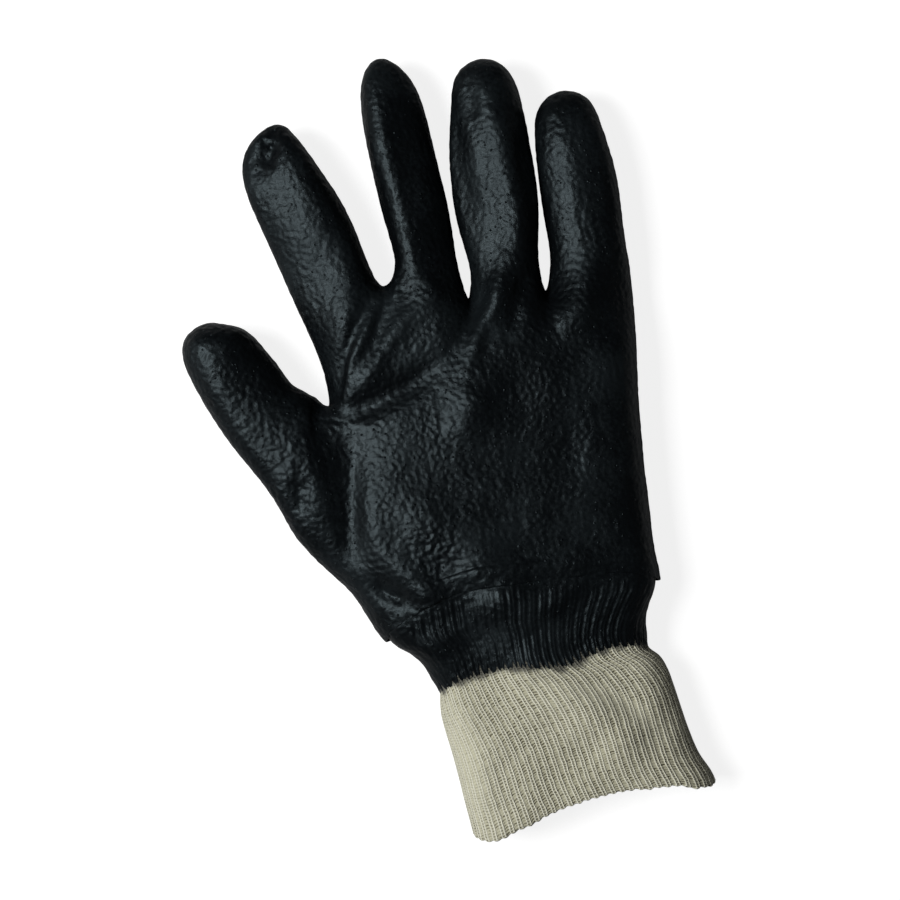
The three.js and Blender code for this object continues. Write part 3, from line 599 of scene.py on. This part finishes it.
def mesh_piece(name, points, faces, material, uv=None, attributes=None):
    """A smooth-shaded piece from points in table millimetres and rows of face corners."""
    mesh = bpy.data.meshes.new(name)
    placed = (points - CENTRE) * MM
    mesh.vertices.add(len(placed))
    mesh.vertices.foreach_set("co", placed.astype(np.float32).ravel())
    corners = faces.shape[1]
    mesh.loops.add(faces.size)
    mesh.loops.foreach_set("vertex_index", faces.astype(np.int32).ravel())
    mesh.polygons.add(len(faces))
    mesh.polygons.foreach_set("loop_start", np.arange(0, faces.size, corners, dtype=np.int32))
    mesh.polygons.foreach_set("use_smooth", np.ones(len(faces), dtype=bool))
    mesh.update(calc_edges=True)
    if uv is not None:
        layer = mesh.uv_layers.new(name="cloth")
        layer.data.foreach_set("uv", uv.astype(np.float32).ravel())
    for label, values in (attributes or {}).items():
        mesh.attributes.new(label, "FLOAT", "POINT").data.foreach_set("value", values.astype(np.float32))
    mesh.validate()
    mesh.materials.append(material)
    piece = bpy.data.objects.new(name, mesh)
    bpy.context.scene.collection.objects.link(piece)
    return piece


def rim_loop(points, faces):
    """Numbers of the points on the open rim, in order round it as seen from the cuff."""
    ends, _, uses = sides_of(faces, len(points))
    rim = np.unique(ends[uses == 1])
    middle = (points[rim].min(axis=0) + points[rim].max(axis=0)) / 2
    angle = np.arctan2(points[rim, 2] - middle[2], points[rim, 0] - middle[0])
    return rim[np.argsort(angle)]


def rolled_hem(points, faces, normals):
    """Adds the hem's lip: a half round under the rim, then a short way back up inside.

    Ring by ring, rim - N r (1 - cos a) + D r sin a for a from 0 to half a turn, N being the outward
    normal and D the way out of the surface at right angles to the rim.
    """
    rim = rim_loop(points, faces)
    edge = points[rim]
    along = np.roll(edge, -1, axis=0) - np.roll(edge, 1, axis=0)
    out = np.cross(along, normals[rim])
    out /= np.linalg.norm(out, axis=1, keepdims=True)
    out *= -np.sign(out[:, 1:2])
    rings = []
    for angle in np.linspace(0, np.pi, LIP_ROWS)[1:]:
        back = LIP_RADIUS * (1 - np.cos(angle))
        forth = LIP_RADIUS * np.sin(angle)
        rings.append(edge - normals[rim] * back + out * forth)
    rings.append(rings[-1] - out * LIP_RETURN)
    size = len(rim)
    added = len(points) + np.arange(len(rings) * size).reshape(-1, size)
    numbers = np.vstack([rim, added])
    first, second = numbers[:-1], numbers[1:]
    strip = np.stack([first, np.roll(first, -1, axis=1), np.roll(second, -1, axis=1), second], axis=-1)
    return np.vstack([points, *rings]), np.vstack([faces, strip.reshape(-1, 4)])


def tube(rings, turns, lengths):
    """Faces and cloth coordinates of a closed tube from rings of points.

    turns is the count of ribs round the tube and lengths the way along it at each ring. The last
    face of each ring carries on counting past the seam.
    """
    rows, count = rings.shape[:2]
    number = np.arange(rows * count).reshape(rows, count)
    after = np.roll(number, -1, axis=1)
    upper, lower = slice(None, -1), slice(1, None)
    faces = np.stack([number[upper], number[lower], after[lower], after[upper]], axis=-1)
    u = np.arange(count + 1) * turns / count
    u_corners = np.stack([u[:-1], u[:-1], u[1:], u[1:]], axis=-1)
    v_corners = np.stack([lengths[:-1], lengths[1:], lengths[1:], lengths[:-1]], axis=-1)
    uv = np.stack(np.broadcast_arrays(u_corners[None], v_corners[:, None]), axis=-1)
    return faces.reshape(-1, 4), uv.reshape(-1, 2)


def rib_groove(ribs, sharpness):
    """Depth share round the ribs: 0 on both crests, RIB_LINE between them and 1 in the groove.

    1 less a raised cosine to the power of sharpness over each crest. The crests stand RIB_APART
    to either side of the line, which lies a quarter of the way along each rib.
    """
    beside = np.abs(np.mod(ribs + 0.25, 1.0) - 0.5)
    crest = (0.5 + 0.5 * np.cos(2 * np.pi * (beside - RIB_APART))) ** sharpness
    inner = beside < RIB_APART
    line = 1 - RIB_LINE * np.cos(0.5 * np.pi * beside / RIB_APART) ** 2
    return np.where(inner, 1 - line, 1 - crest)


def rib_middle(ribs, narrowness):
    """1 on the middle of every rib and 0 in the grooves: a raised cosine to a power."""
    return (0.5 + 0.5 * np.cos(2 * np.pi * (ribs - 0.25))) ** narrowness


def rib_random(ribs, seed):
    """A random value between -1 and 1 for every rib, smoothly carried on round the wrist."""
    values = np.random.default_rng(seed).uniform(-1, 1, RIBS)
    return round_value(values, np.asarray(ribs) / RIBS)


def rib_share(start, y):
    """Share of the way round that ribs have reached at y, from those that they start at.

    start plus the table's share, less its slip times sin(4 pi start).
    """
    slip = value_at(RIB_TWIST, "slip", y) * np.sin(4 * np.pi * start)
    return start + value_at(RIB_TWIST, "share", y) - slip


def line_at(line):
    """y of a line round the wrist where each column meets it.

    The line is read at the share that the column has reached by the y found before, three times.
    """
    level = round_value(line, STARTS)
    for _ in range(3):
        level = round_value(line, rib_share(STARTS, level))
    return level


def wrist_rings(levels, insets, grooves, sharpness):
    """Rings of points on the wrist: levels are y at every ring and column, insets the depth under
    the outer surface, and grooves how much deeper the ribs are parted."""
    groove = rib_groove(STARTS * RIBS, sharpness)[None, :] * grooves
    return wrist_points(rib_share(STARTS, levels), levels, -insets - groove)


def band_edge(ribs):
    """y of the coating's lower edge: the dip line, with a narrow notch up every rib."""
    notch = rib_middle(ribs, 5.0) * (2.2 + 1.6 * rib_random(ribs, 11))
    return line_at(DIP_LINE) - 0.6 + notch + 0.35 * rib_random(3.7 * ribs, 12)


# Pieces

def make_hand(coating, cotton):
    """The coated hand: the outer surface with its rolled hem, and the inside one wall within it."""
    points, faces, normals = hand_surface(OUTER_ROUNDS, FOLDS + FINE_FOLDS)
    points, faces = rolled_hem(points, faces, normals)
    skin = mesh_piece("hand_skin", points, faces, coating, attributes={"pebbled": pebbled(points)})
    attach(skin, "root")
    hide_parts("coated_hand")

    points, faces, normals = hand_surface(INNER_ROUNDS, FOLDS)
    inside = mesh_piece("hand_inside", points - normals * COATED_WALL, faces[:, ::-1], cotton)
    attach(inside, "root")
    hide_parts("coated_hand")


def draped(rings):
    """Points of the wrist with its folds and soft lumps on the palm's side, kept above the floor."""
    made = rings.copy()
    upper = ease(rings[..., 2], 12, 20)
    lumps = waves(rings, size=16.0, count=10, seed=31)
    made[..., 2] += upper * (fold_rise(rings[..., 0], rings[..., 1], CUFF_FOLDS) + 0.25 * lumps)
    made[..., 2] = np.maximum(made[..., 2], 0)
    return made


def make_band(coating):
    """The coating on the ribs of the wrist, from inside the hem down to the jagged dip line.

    Its rows lie closest under the hem. There the skin rises to a swell on the palm's side, which
    fades out on the way down while the ribs grow deeper. Each rib has a random depth; there are
    none at the thumb's side, and they are fainter past the middle of the palm's. The skin thins out
    onto the knit over the last millimetre, and the inner face goes back up.
    """
    ribs = STARTS * RIBS
    top = line_at(HEM_EDGE) + TUCK
    edge = band_edge(ribs)
    upper_part = np.concatenate([[0, 0.06, 0.10], np.linspace(0.12, 0.22, 14)])
    part = np.concatenate([upper_part, np.linspace(0.235, 0.96, 30), [0.98, 0.992, 1.0]])[:, None]
    levels = top + (edge - top) * part
    share = rib_share(STARTS, levels)
    below_hem = round_value(HEM_EDGE, share) - levels
    facing = ease(np.sin(2 * np.pi * np.mod(share, 1)), 0, 0.3)
    rise = ease(below_hem, *SWELL_RISE) * (1 - ease(below_hem, *SWELL_FADE))
    swell = BAND_SWELL * facing * rise
    unrolled = np.stack([share * ROUND_WRIST, levels, 0 * levels], axis=-1)
    patch = ease(waves(unrolled, size=19.0, count=12, seed=51), -1.2, 1.0)
    own = 1 + 0.35 * rib_random(ribs, 17)
    started = ease(np.abs(np.mod(share + 0.5, 1) - 0.5), *BAND_RIBS_START)
    faint = 1 - 0.4 * ease(np.mod(share, 1), *BAND_RIBS_FAINT)
    depth = BAND_RIB_DEPTH * own * started * faint * (0.85 + 0.3 * patch)
    depth = depth * (0.1 + 0.9 * ease(below_hem, *BAND_RIBS_GROW))
    thin = ease(levels - edge, 0.0, BAND_EDGE_THIN)
    insets = SKIN_DEPTH * (1 - thin) - swell
    insets = insets - 0.045 * thin * waves(unrolled, size=2.6, count=30, seed=57)
    outer = wrist_rings(levels, insets, depth, BAND_SHARPNESS)
    inner_part = np.array([1.0, 0.97, 0.85, 0.5, 0.0])[:, None]
    inner_levels = top + (edge - top) * inner_part
    inner_depth = np.interp(inner_part[:, 0], [0.85, 1.0], [BAND_THICKNESS, SKIN_DEPTH + 0.05])[:, None]
    inner = wrist_rings(inner_levels, inner_depth + 0 * inner_levels, BAND_RIB_DEPTH, BAND_SHARPNESS)
    rings = draped(np.vstack([outer, inner, outer[:1]]))
    lengths = np.concatenate([part[:, 0], inner_part[:, 0], [0.0]]) * BAND_HEIGHT
    faces, uv = tube(rings, RIBS, lengths)
    points = rings.reshape(-1, 3)
    size = len(points) - len(ribs)
    faces = np.where(faces >= size, faces - size, faces)
    band = mesh_piece("wrist_band", points[:size], faces, coating, uv=uv)
    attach(band, "root")
    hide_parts("coated_wrist")


def make_knit(cotton):
    """The rib-knit wrist: down the outside, over the scalloped edge and back up the inside.

    The outside lies just under the coating at the dip line and comes out to its full width below
    it. The edge is a half round of half the wall's thickness, drawn down at every rib. The ribs are
    shallower where they lie closed up.
    """
    ribs = STARTS * RIBS
    top = line_at(HEM_EDGE) + TUCK
    dip = line_at(DIP_LINE)
    edge = line_at(CUFF_EDGE) + 0.2 - 0.5 * rib_middle(ribs, 1.0) + 0.35 * rib_random(ribs, 23)
    full = dip + 2.8
    radius = KNIT_WALL / 2
    straight = edge + radius
    hidden = top + (full - top) * np.linspace(0, 1, 12, endpoint=False)[:, None]
    shown = full + (straight - full) * np.linspace(0, 1, 58)[:, None]
    angles = np.linspace(0, np.pi, 7)[1:-1, None]
    lip = straight - radius * np.sin(angles)
    inside = straight + (top - straight) * np.linspace(0, 1, 20)[:, None] ** 1.2
    levels = np.vstack([hidden, shown, lip, inside])
    under_skin = SKIN_DEPTH + (BAND_THICKNESS + 0.3 - SKIN_DEPTH) * ease(levels - dip, 1.5, 8)
    insets = under_skin * ease(levels - dip, -6.0, 1.0)
    rows_before_lip = len(hidden) + len(shown)
    lip_rows = slice(rows_before_lip, rows_before_lip + len(lip))
    insets[lip_rows] += radius * (1 - np.cos(angles))
    insets[rows_before_lip + len(lip):] += KNIT_WALL
    plain = wrist_rings(levels, insets, 0 * levels, KNIT_SHARPNESS)
    closed = np.clip(fold_rise(plain[..., 0], plain[..., 1], CLOSED_RIBS), 0, 1)
    closed *= ease(plain[..., 2], 8, 14)
    depth = KNIT_RIB_DEPTH * (1 - 0.6 * closed)
    depth[rows_before_lip + len(lip):] = -0.2
    depth[lip_rows] = KNIT_RIB_DEPTH * np.cos(angles / 2)
    rings = draped(wrist_rings(levels, insets, depth, KNIT_SHARPNESS))
    steps = np.linalg.norm(np.diff(rings.mean(axis=1), axis=0), axis=1)
    steps = np.maximum(steps, np.abs(np.diff(levels.mean(axis=1))))
    lengths = np.concatenate([[0], np.cumsum(steps)]) / COURSE
    faces, uv = tube(rings, RIBS, lengths)
    soak = ease(levels - (dip - 2.6 + 1.3 * rib_random(ribs, 41)), 0.0, 2.4)
    soak[rows_before_lip:] = 0
    marks = {"soak": soak.ravel(), "closed": closed.ravel()}
    knit = mesh_piece("knit_cuff", rings.reshape(-1, 3), faces, cotton, uv=uv, attributes=marks)
    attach(knit, "root")
    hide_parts("knit_wrist")


# Materials: scales are in cells per metre, heights in millimetres

DRIFT_SCALE = 420.0
DRIFT = 0.0009  # how far the cells are bent by it, in metres
CELL_SCALE = 430.0
CELL_HEIGHT = 0.04
PEBBLE_SCALE = 560.0
PEBBLE_RELIEF = 0.55
MARK_HEIGHT = 0.22  # of the pimples, and the depth of the pits
PIMPLES_ABOVE = 0.40  # cells with a random value over this have a pimple
PITS_BELOW = 0.04  # and those under this a pit
FINE_SCALE = 2100.0
FINE_HEIGHT = 0.10
BLACK = (0.0020, 0.0026, 0.0032, 1)
SCUFFED_BLACK = (0.006, 0.0080, 0.0092, 1)
COLD_SHINE = (0.74, 0.93, 1.0, 1)
CREAM = (0.58, 0.565, 0.415, 1)
PALE_CREAM = (0.69, 0.675, 0.52, 1)
# Painted highlight on the knit's rib crests.
CREST_HIGHLIGHT = (0.86, 0.85, 0.72, 1)
FLECK_BROWN = (0.45, 0.37, 0.23, 1)
# Painted shade in the ladder grooves between the knit's ribs.
LADDER_SHADE = (0.40, 0.385, 0.265, 1)
# Painted shade in the small holes of the knit.
HOLE_SHADE = (0.060, 0.048, 0.020, 1)
SOAKED_GREY = (0.035, 0.035, 0.032, 1)
JERSEY = (0.50, 0.46, 0.34, 1)
PALE_JERSEY = (0.70, 0.66, 0.52, 1)


def fill(tree, node, inputs):
    """Gives a node's sockets a value or another node's output."""
    for name, value in inputs.items():
        if isinstance(value, bpy.types.NodeSocket):
            tree.links.new(value, node.inputs[name])
        else:
            node.inputs[name].default_value = value


def place(tree, kind, inputs=None, **settings):
    """Adds a shader node of a kind, sets its properties and fills its sockets."""
    node = tree.nodes.new("ShaderNode" + kind)
    for name, value in settings.items():
        setattr(node, name, value)
    fill(tree, node, inputs or {})
    return node


def work(tree, operation, *values):
    """A maths node on one to three values or outputs."""
    return place(tree, "Math", dict(enumerate(values)), operation=operation).outputs[0]


def times(tree, *values):
    """The product of two values or outputs, with the third one added where there is one."""
    return work(tree, "MULTIPLY_ADD" if len(values) > 2 else "MULTIPLY", *values)


def ramp(tree, value, low, high):
    """0 at low and before it, 1 at high and past it, with a smooth run between them."""
    inputs = {"Value": value, "From Min": low, "From Max": high}
    return place(tree, "MapRange", inputs, interpolation_type="SMOOTHSTEP").outputs[0]


def mix(tree, share, first, second):
    """Mixes two colours by a share."""
    return place(tree, "Mix", {0: share, 6: first, 7: second}, data_type="RGBA").outputs[2]


def from_middle(tree, share):
    """0 where a share is a half, and 1 where it is 0 or 1."""
    return work(tree, "ABSOLUTE", times(tree, share, 2.0, -1.0))


def noise(tree, position, scale, detail=2.0, roughness=0.5):
    """A noise texture's value, between 0 and 1."""
    inputs = {"Vector": position, "Scale": scale, "Detail": detail, "Roughness": roughness}
    return place(tree, "TexNoise", inputs).outputs[0]


def object_place(tree):
    """The place on a piece, in metres."""
    return place(tree, "TexCoord").outputs["Object"]


def mark(tree, name):
    """The value that a piece's points carry under a name."""
    return place(tree, "Attribute", attribute_name=name).outputs["Fac"]


def new_group(name, vectors, values, outputs):
    """A node group that takes vectors and values. Returns its tree and its input and output nodes."""
    tree = bpy.data.node_groups.new(name, "ShaderNodeTree")
    sockets = [(label, "INPUT", "NodeSocketVector") for label in vectors]
    sockets += [(label, "INPUT", "NodeSocketFloat") for label in values]
    sockets += [(label, "OUTPUT", "NodeSocketFloat") for label in outputs]
    for label, side, kind in sockets:
        tree.interface.new_socket(name=label, in_out=side, socket_type=kind)
    return tree, tree.nodes.new("NodeGroupInput"), tree.nodes.new("NodeGroupOutput")


def coating_grain():
    """Group: the pebbly skin of dipped PVC. Height is in millimetres, the masks lie between 0 and 1.

    Pebbles of soft noise with a trace of rounded cells, small pimples, a few pits, and a fine
    roughness over them. Scuff is where the skin is duller and greyer, and Gloss marks smooth
    patches.
    """
    tree, given, made = new_group(
        "dipped_pvc_grain", ["Position"], ["Pebbles", "Pimples"], ["Height", "Scuff", "Gloss"]
    )
    position = given.outputs["Position"]
    drift = place(tree, "TexNoise", {"Vector": position, "Scale": DRIFT_SCALE, "Detail": 1.0})
    shift = {0: drift.outputs[1], 1: (0.5, 0.5, 0.5)}
    shift = place(tree, "VectorMath", shift, operation="SUBTRACT").outputs[0]
    shift = place(tree, "VectorMath", {0: shift, "Scale": DRIFT}, operation="SCALE").outputs[0]
    bent = place(tree, "VectorMath", {0: position, 1: shift}, operation="ADD").outputs[0]
    cells = {"Vector": bent, "Scale": CELL_SCALE}
    rounded = place(tree, "TexVoronoi", {**cells, "Smoothness": 0.7}, feature="SMOOTH_F1")
    hollow = work(tree, "SUBTRACT", 0.5, rounded.outputs["Distance"])
    soft = noise(tree, position, PEBBLE_SCALE, 0.0, 0.4)
    pebbles = times(tree, hollow, CELL_HEIGHT)
    pebbles = times(tree, soft, PEBBLE_RELIEF, pebbles)
    spots = place(tree, "TexVoronoi", cells, feature="F1")
    picked = place(tree, "SeparateColor", {0: spots.outputs["Color"]}).outputs[0]
    near = ramp(tree, spots.outputs["Distance"], 0.22, 0.05)
    pimple = times(tree, near, work(tree, "GREATER_THAN", picked, PIMPLES_ABOVE))
    pit = times(tree, near, work(tree, "LESS_THAN", picked, PITS_BELOW))
    marks = times(tree, work(tree, "SUBTRACT", pimple, pit), MARK_HEIGHT)
    height = times(tree, pebbles, given.outputs["Pebbles"])
    height = times(tree, marks, given.outputs["Pimples"], height)
    fine = noise(tree, position, FINE_SCALE, 3.0, 0.6)
    height = times(tree, fine, FINE_HEIGHT, height)
    broad = noise(tree, position, 34.0, 4.0, 0.6)
    close = noise(tree, position, 900.0, 4.0, 0.7)
    scuff = ramp(tree, times(tree, close, 0.6, broad), 0.74, 0.95)
    gloss = ramp(tree, noise(tree, position, 120.0, 2.0), 0.45, 0.7)
    fill(tree, made, {"Height": height, "Scuff": scuff, "Gloss": gloss})
    return tree


def rib_stitches():
    """Group: courses of stitches along the ribs, from cloth coordinates (rib, course).

    A rib's two crests get a painted highlight, the line between them is a row of small holes painted
    dark as shade, and the groove is a ladder of short bars with holes between them. Height is in
    millimetres,
    Hole marks the holes painted with shade, Ladder the groove painted with shade and Crest the painted
    highlight on the crests. Closed hides the groove.
    """
    tree, given, made = new_group(
        "rib_knit_stitches", ["Cloth", "Position"], ["Closed"], ["Height", "Hole", "Ladder", "Crest"]
    )
    position = given.outputs["Position"]
    parts = place(tree, "SeparateXYZ", {0: given.outputs["Cloth"]})
    wander = work(tree, "SUBTRACT", noise(tree, position, 340.0, 1.0), 0.5)
    rib = times(tree, wander, 0.16, parts.outputs[0])
    course = times(tree, wander, 0.9, parts.outputs[1])
    from_line = work(tree, "SUBTRACT", work(tree, "FRACT", work(tree, "ADD", rib, 0.25)), 0.5)
    away = work(tree, "ABSOLUTE", from_line)
    ladder = ramp(tree, away, 0.25, 0.32)
    line = ramp(tree, away, 0.12, 0.05)
    crest = ramp(tree, work(tree, "ABSOLUTE", work(tree, "SUBTRACT", away, 0.19)), 0.09, 0.03)
    slant = work(tree, "FRACT", times(tree, away, -1.2, course))
    leg = ramp(tree, from_middle(tree, slant), 1.0, 0.3)
    lean = times(tree, rib, 0.9, course)
    step = work(tree, "FRACT", work(tree, "ADD", lean, 0.25))
    bar = ramp(tree, from_middle(tree, step), 0.75, 0.35)
    uneven = ramp(tree, noise(tree, position, 620.0, 2.0), 0.36, 0.62)
    rungs = times(tree, ladder, work(tree, "SUBTRACT", 1.0, bar))
    rungs = times(tree, rungs, times(tree, uneven, 0.75, 0.25))
    dots = times(tree, line, times(tree, leg, -0.75, 1.0))
    open_share = times(tree, given.outputs["Closed"], -0.75, 1.0)
    hole = times(tree, work(tree, "MAXIMUM", rungs, dots), open_share)
    stitch = times(tree, leg, work(tree, "SUBTRACT", 1.0, ladder))
    height = times(tree, work(tree, "SUBTRACT", stitch, hole), 0.12)
    height = times(tree, crest, 0.14, height)
    height = times(tree, noise(tree, position, 3800.0, 3.0, 0.7), 0.05, height)
    ladder = times(tree, ladder, open_share)
    fill(tree, made, {"Height": height, "Hole": hole, "Ladder": ladder, "Crest": crest})
    return tree


def new_material(name):
    """A material with a Principled shader. Returns the material, its tree and the shader."""
    material = bpy.data.materials.new(name)
    material.use_nodes = True
    return material, material.node_tree, material.node_tree.nodes["Principled BSDF"]


def bump(tree, height):
    """The normal of a surface with a height in millimetres."""
    return place(tree, "Bump", {"Strength": 1.0, "Distance": MM, "Height": height}).outputs[0]


def pvc_material(name, grain, pebbles, pimples, mask=None):
    """Near black dipped PVC: semi-gloss, pebbly, a little greyer and duller where it is scuffed.

    With a mask, the pebbles are as strong as the piece's attribute of that name says.
    """
    material, tree, shader = new_material(name)
    if mask:
        pebbles = times(tree, mark(tree, mask), pebbles)
    inputs = {"Position": object_place(tree), "Pebbles": pebbles, "Pimples": pimples}
    skin = place(tree, "Group", inputs, node_tree=grain)
    rough = times(tree, skin.outputs["Scuff"], 0.05, 0.365)
    fill(tree, shader, {
        "Base Color": mix(tree, skin.outputs["Scuff"], BLACK, SCUFFED_BLACK),
        "Roughness": times(tree, skin.outputs["Gloss"], -0.04, rough),
        "IOR": 1.5,
        "Specular IOR Level": 0.2,
        "Specular Tint": COLD_SHINE,
        "Normal": bump(tree, skin.outputs["Height"]),
    })
    return material


def knit_material(name, stitches):
    """Undyed cotton rib knit: cream, a painted highlight on the crests, painted shade in the ladder gaps
    and holes, grey where it soaked up coating.
    """
    material, tree, shader = new_material(name)
    position = object_place(tree)
    cloth = place(tree, "UVMap", uv_map="cloth").outputs[0]
    inputs = {"Cloth": cloth, "Position": position, "Closed": mark(tree, "closed")}
    knit = place(tree, "Group", inputs, node_tree=stitches)
    tone = noise(tree, position, 55.0, 3.0, 0.6)
    flecks = ramp(tree, noise(tree, position, 1400.0, 2.0, 0.6), 0.58, 0.74)
    colour = mix(tree, tone, CREAM, PALE_CREAM)
    # Painted light: a highlight on the crests, shade in the ladder grooves and the holes. The tone, the
    # flecks and the soaked grey are the cotton's own colour.
    for share, strength, over in (
        (knit.outputs["Crest"], 0.8, CREST_HIGHLIGHT),
        (flecks, 0.35, FLECK_BROWN),
        (knit.outputs["Ladder"], 0.45, LADDER_SHADE),
        (knit.outputs["Hole"], 0.95, HOLE_SHADE),
        (mark(tree, "soak"), 0.85, SOAKED_GREY),
    ):
        colour = mix(tree, times(tree, share, strength), colour, over)
    fill(tree, shader, {
        "Base Color": colour,
        "Roughness": times(tree, tone, 0.1, 0.85),
        "Sheen Weight": 0.2,
        "Sheen Roughness": 0.5,
        "Specular IOR Level": 0.25,
        "Normal": bump(tree, knit.outputs["Height"]),
    })
    return material


def lining_material(name):
    """Plain cream jersey on the inside of the hand: fine stitches in rows, with a soft mottle."""
    material, tree, shader = new_material(name)
    position = object_place(tree)
    rows = {"Vector": position, "Scale": 330.0, "Distortion": 2.0}
    rows = place(tree, "TexWave", rows, bands_direction="X").outputs[1]
    mottle = noise(tree, position, 500.0, 3.0, 0.6)
    fill(tree, shader, {
        "Base Color": mix(tree, mottle, JERSEY, PALE_JERSEY),
        "Roughness": times(tree, mottle, 0.1, 0.85),
        "Normal": bump(tree, times(tree, rows, 0.15)),
    })
    return material


# Floor, light and camera: places and sizes in metres, light in watts

FLOOR_HALF = 3.0
FLOOR_DEPTH = 0.1  # in millimetres, below the glove
LIGHTS = [
    ("key_light", (-0.86, 0.19, 1.18), 0.6, 19.5),
    ("low_light", (-1.30, 0.27, 0.55), 0.9, 1.6),
    ("fill_light", (0.9, -0.5, 0.9), 1.0, 0.2),
]
WHITE = (1, 1, 1, 1)
STUDIO_GLOW = 0.036
CAMERA_PLACE = (0.00385, -0.0016, 1.227)
CAMERA_TURN = np.radians(-12)
CAMERA_LENS = 135  # millimetres, on a sensor 36 wide


def make_floor():
    """A plain pale floor, a hair below the glove. It glows for the camera alone."""
    corners = np.array([[-1, -1, 0], [1, -1, 0], [1, 1, 0], [-1, 1, 0]]) * FLOOR_HALF / MM
    corners[:, 2] = -FLOOR_DEPTH
    material, tree, shader = new_material("pale_floor")
    mottle = noise(tree, object_place(tree), 3.0)
    seen = place(tree, "LightPath").outputs["Is Camera Ray"]
    fill(tree, shader, {
        "Base Color": mix(tree, mottle, (0.34, 0.34, 0.34, 1), (0.36, 0.36, 0.36, 1)),
        "Roughness": 0.9,
        "Emission Strength": 0.85,
        "Emission Color": mix(tree, seen, (0, 0, 0, 1), WHITE),
    })
    floor = mesh_piece("floor", corners, np.array([[0, 1, 2, 3]]), material)


def area_light(name, stand, size, watts):
    """A square soft light that shines on the middle of the glove."""
    data = bpy.data.lights.new(name, "AREA")
    data.size = size
    data.energy = watts
    lamp = bpy.data.objects.new(name, data)
    bpy.context.scene.collection.objects.link(lamp)
    x, y, z = stand
    lamp.location = stand
    lamp.rotation_euler = (np.arctan2(np.hypot(x, y), z), 0, np.arctan2(x, -y))


def make_stage():
    """Floor, soft studio lights and the camera straight above the glove."""
    make_floor()
    for light in LIGHTS:
        area_light(*light)
    world = bpy.data.worlds.new("studio")
    world.use_nodes = True
    tree = world.node_tree
    fill(tree, tree.nodes["Background"], {0: WHITE, 1: STUDIO_GLOW})
    scene = bpy.context.scene
    scene.world = world
    scene.view_settings.view_transform = "Standard"
    data = bpy.data.cameras.new("camera")
    data.lens = CAMERA_LENS
    data.sensor_width = 36
    data.clip_start = 0.01
    camera = bpy.data.objects.new("camera", data)
    camera.location = CAMERA_PLACE
    camera.rotation_euler = (0, 0, CAMERA_TURN)
    scene.collection.objects.link(camera)
    scene.camera = camera


grain = coating_grain()
cotton_ribs = knit_material("cream_rib_knit", rib_stitches())
make_stage()
make_hand(pvc_material("black_pvc_hand", grain, 1.0, 1.0, "pebbled"), lining_material("cream_jersey"))
make_band(pvc_material("black_pvc_on_ribs", grain, 0.35, 0.8))
make_knit(cotton_ribs)
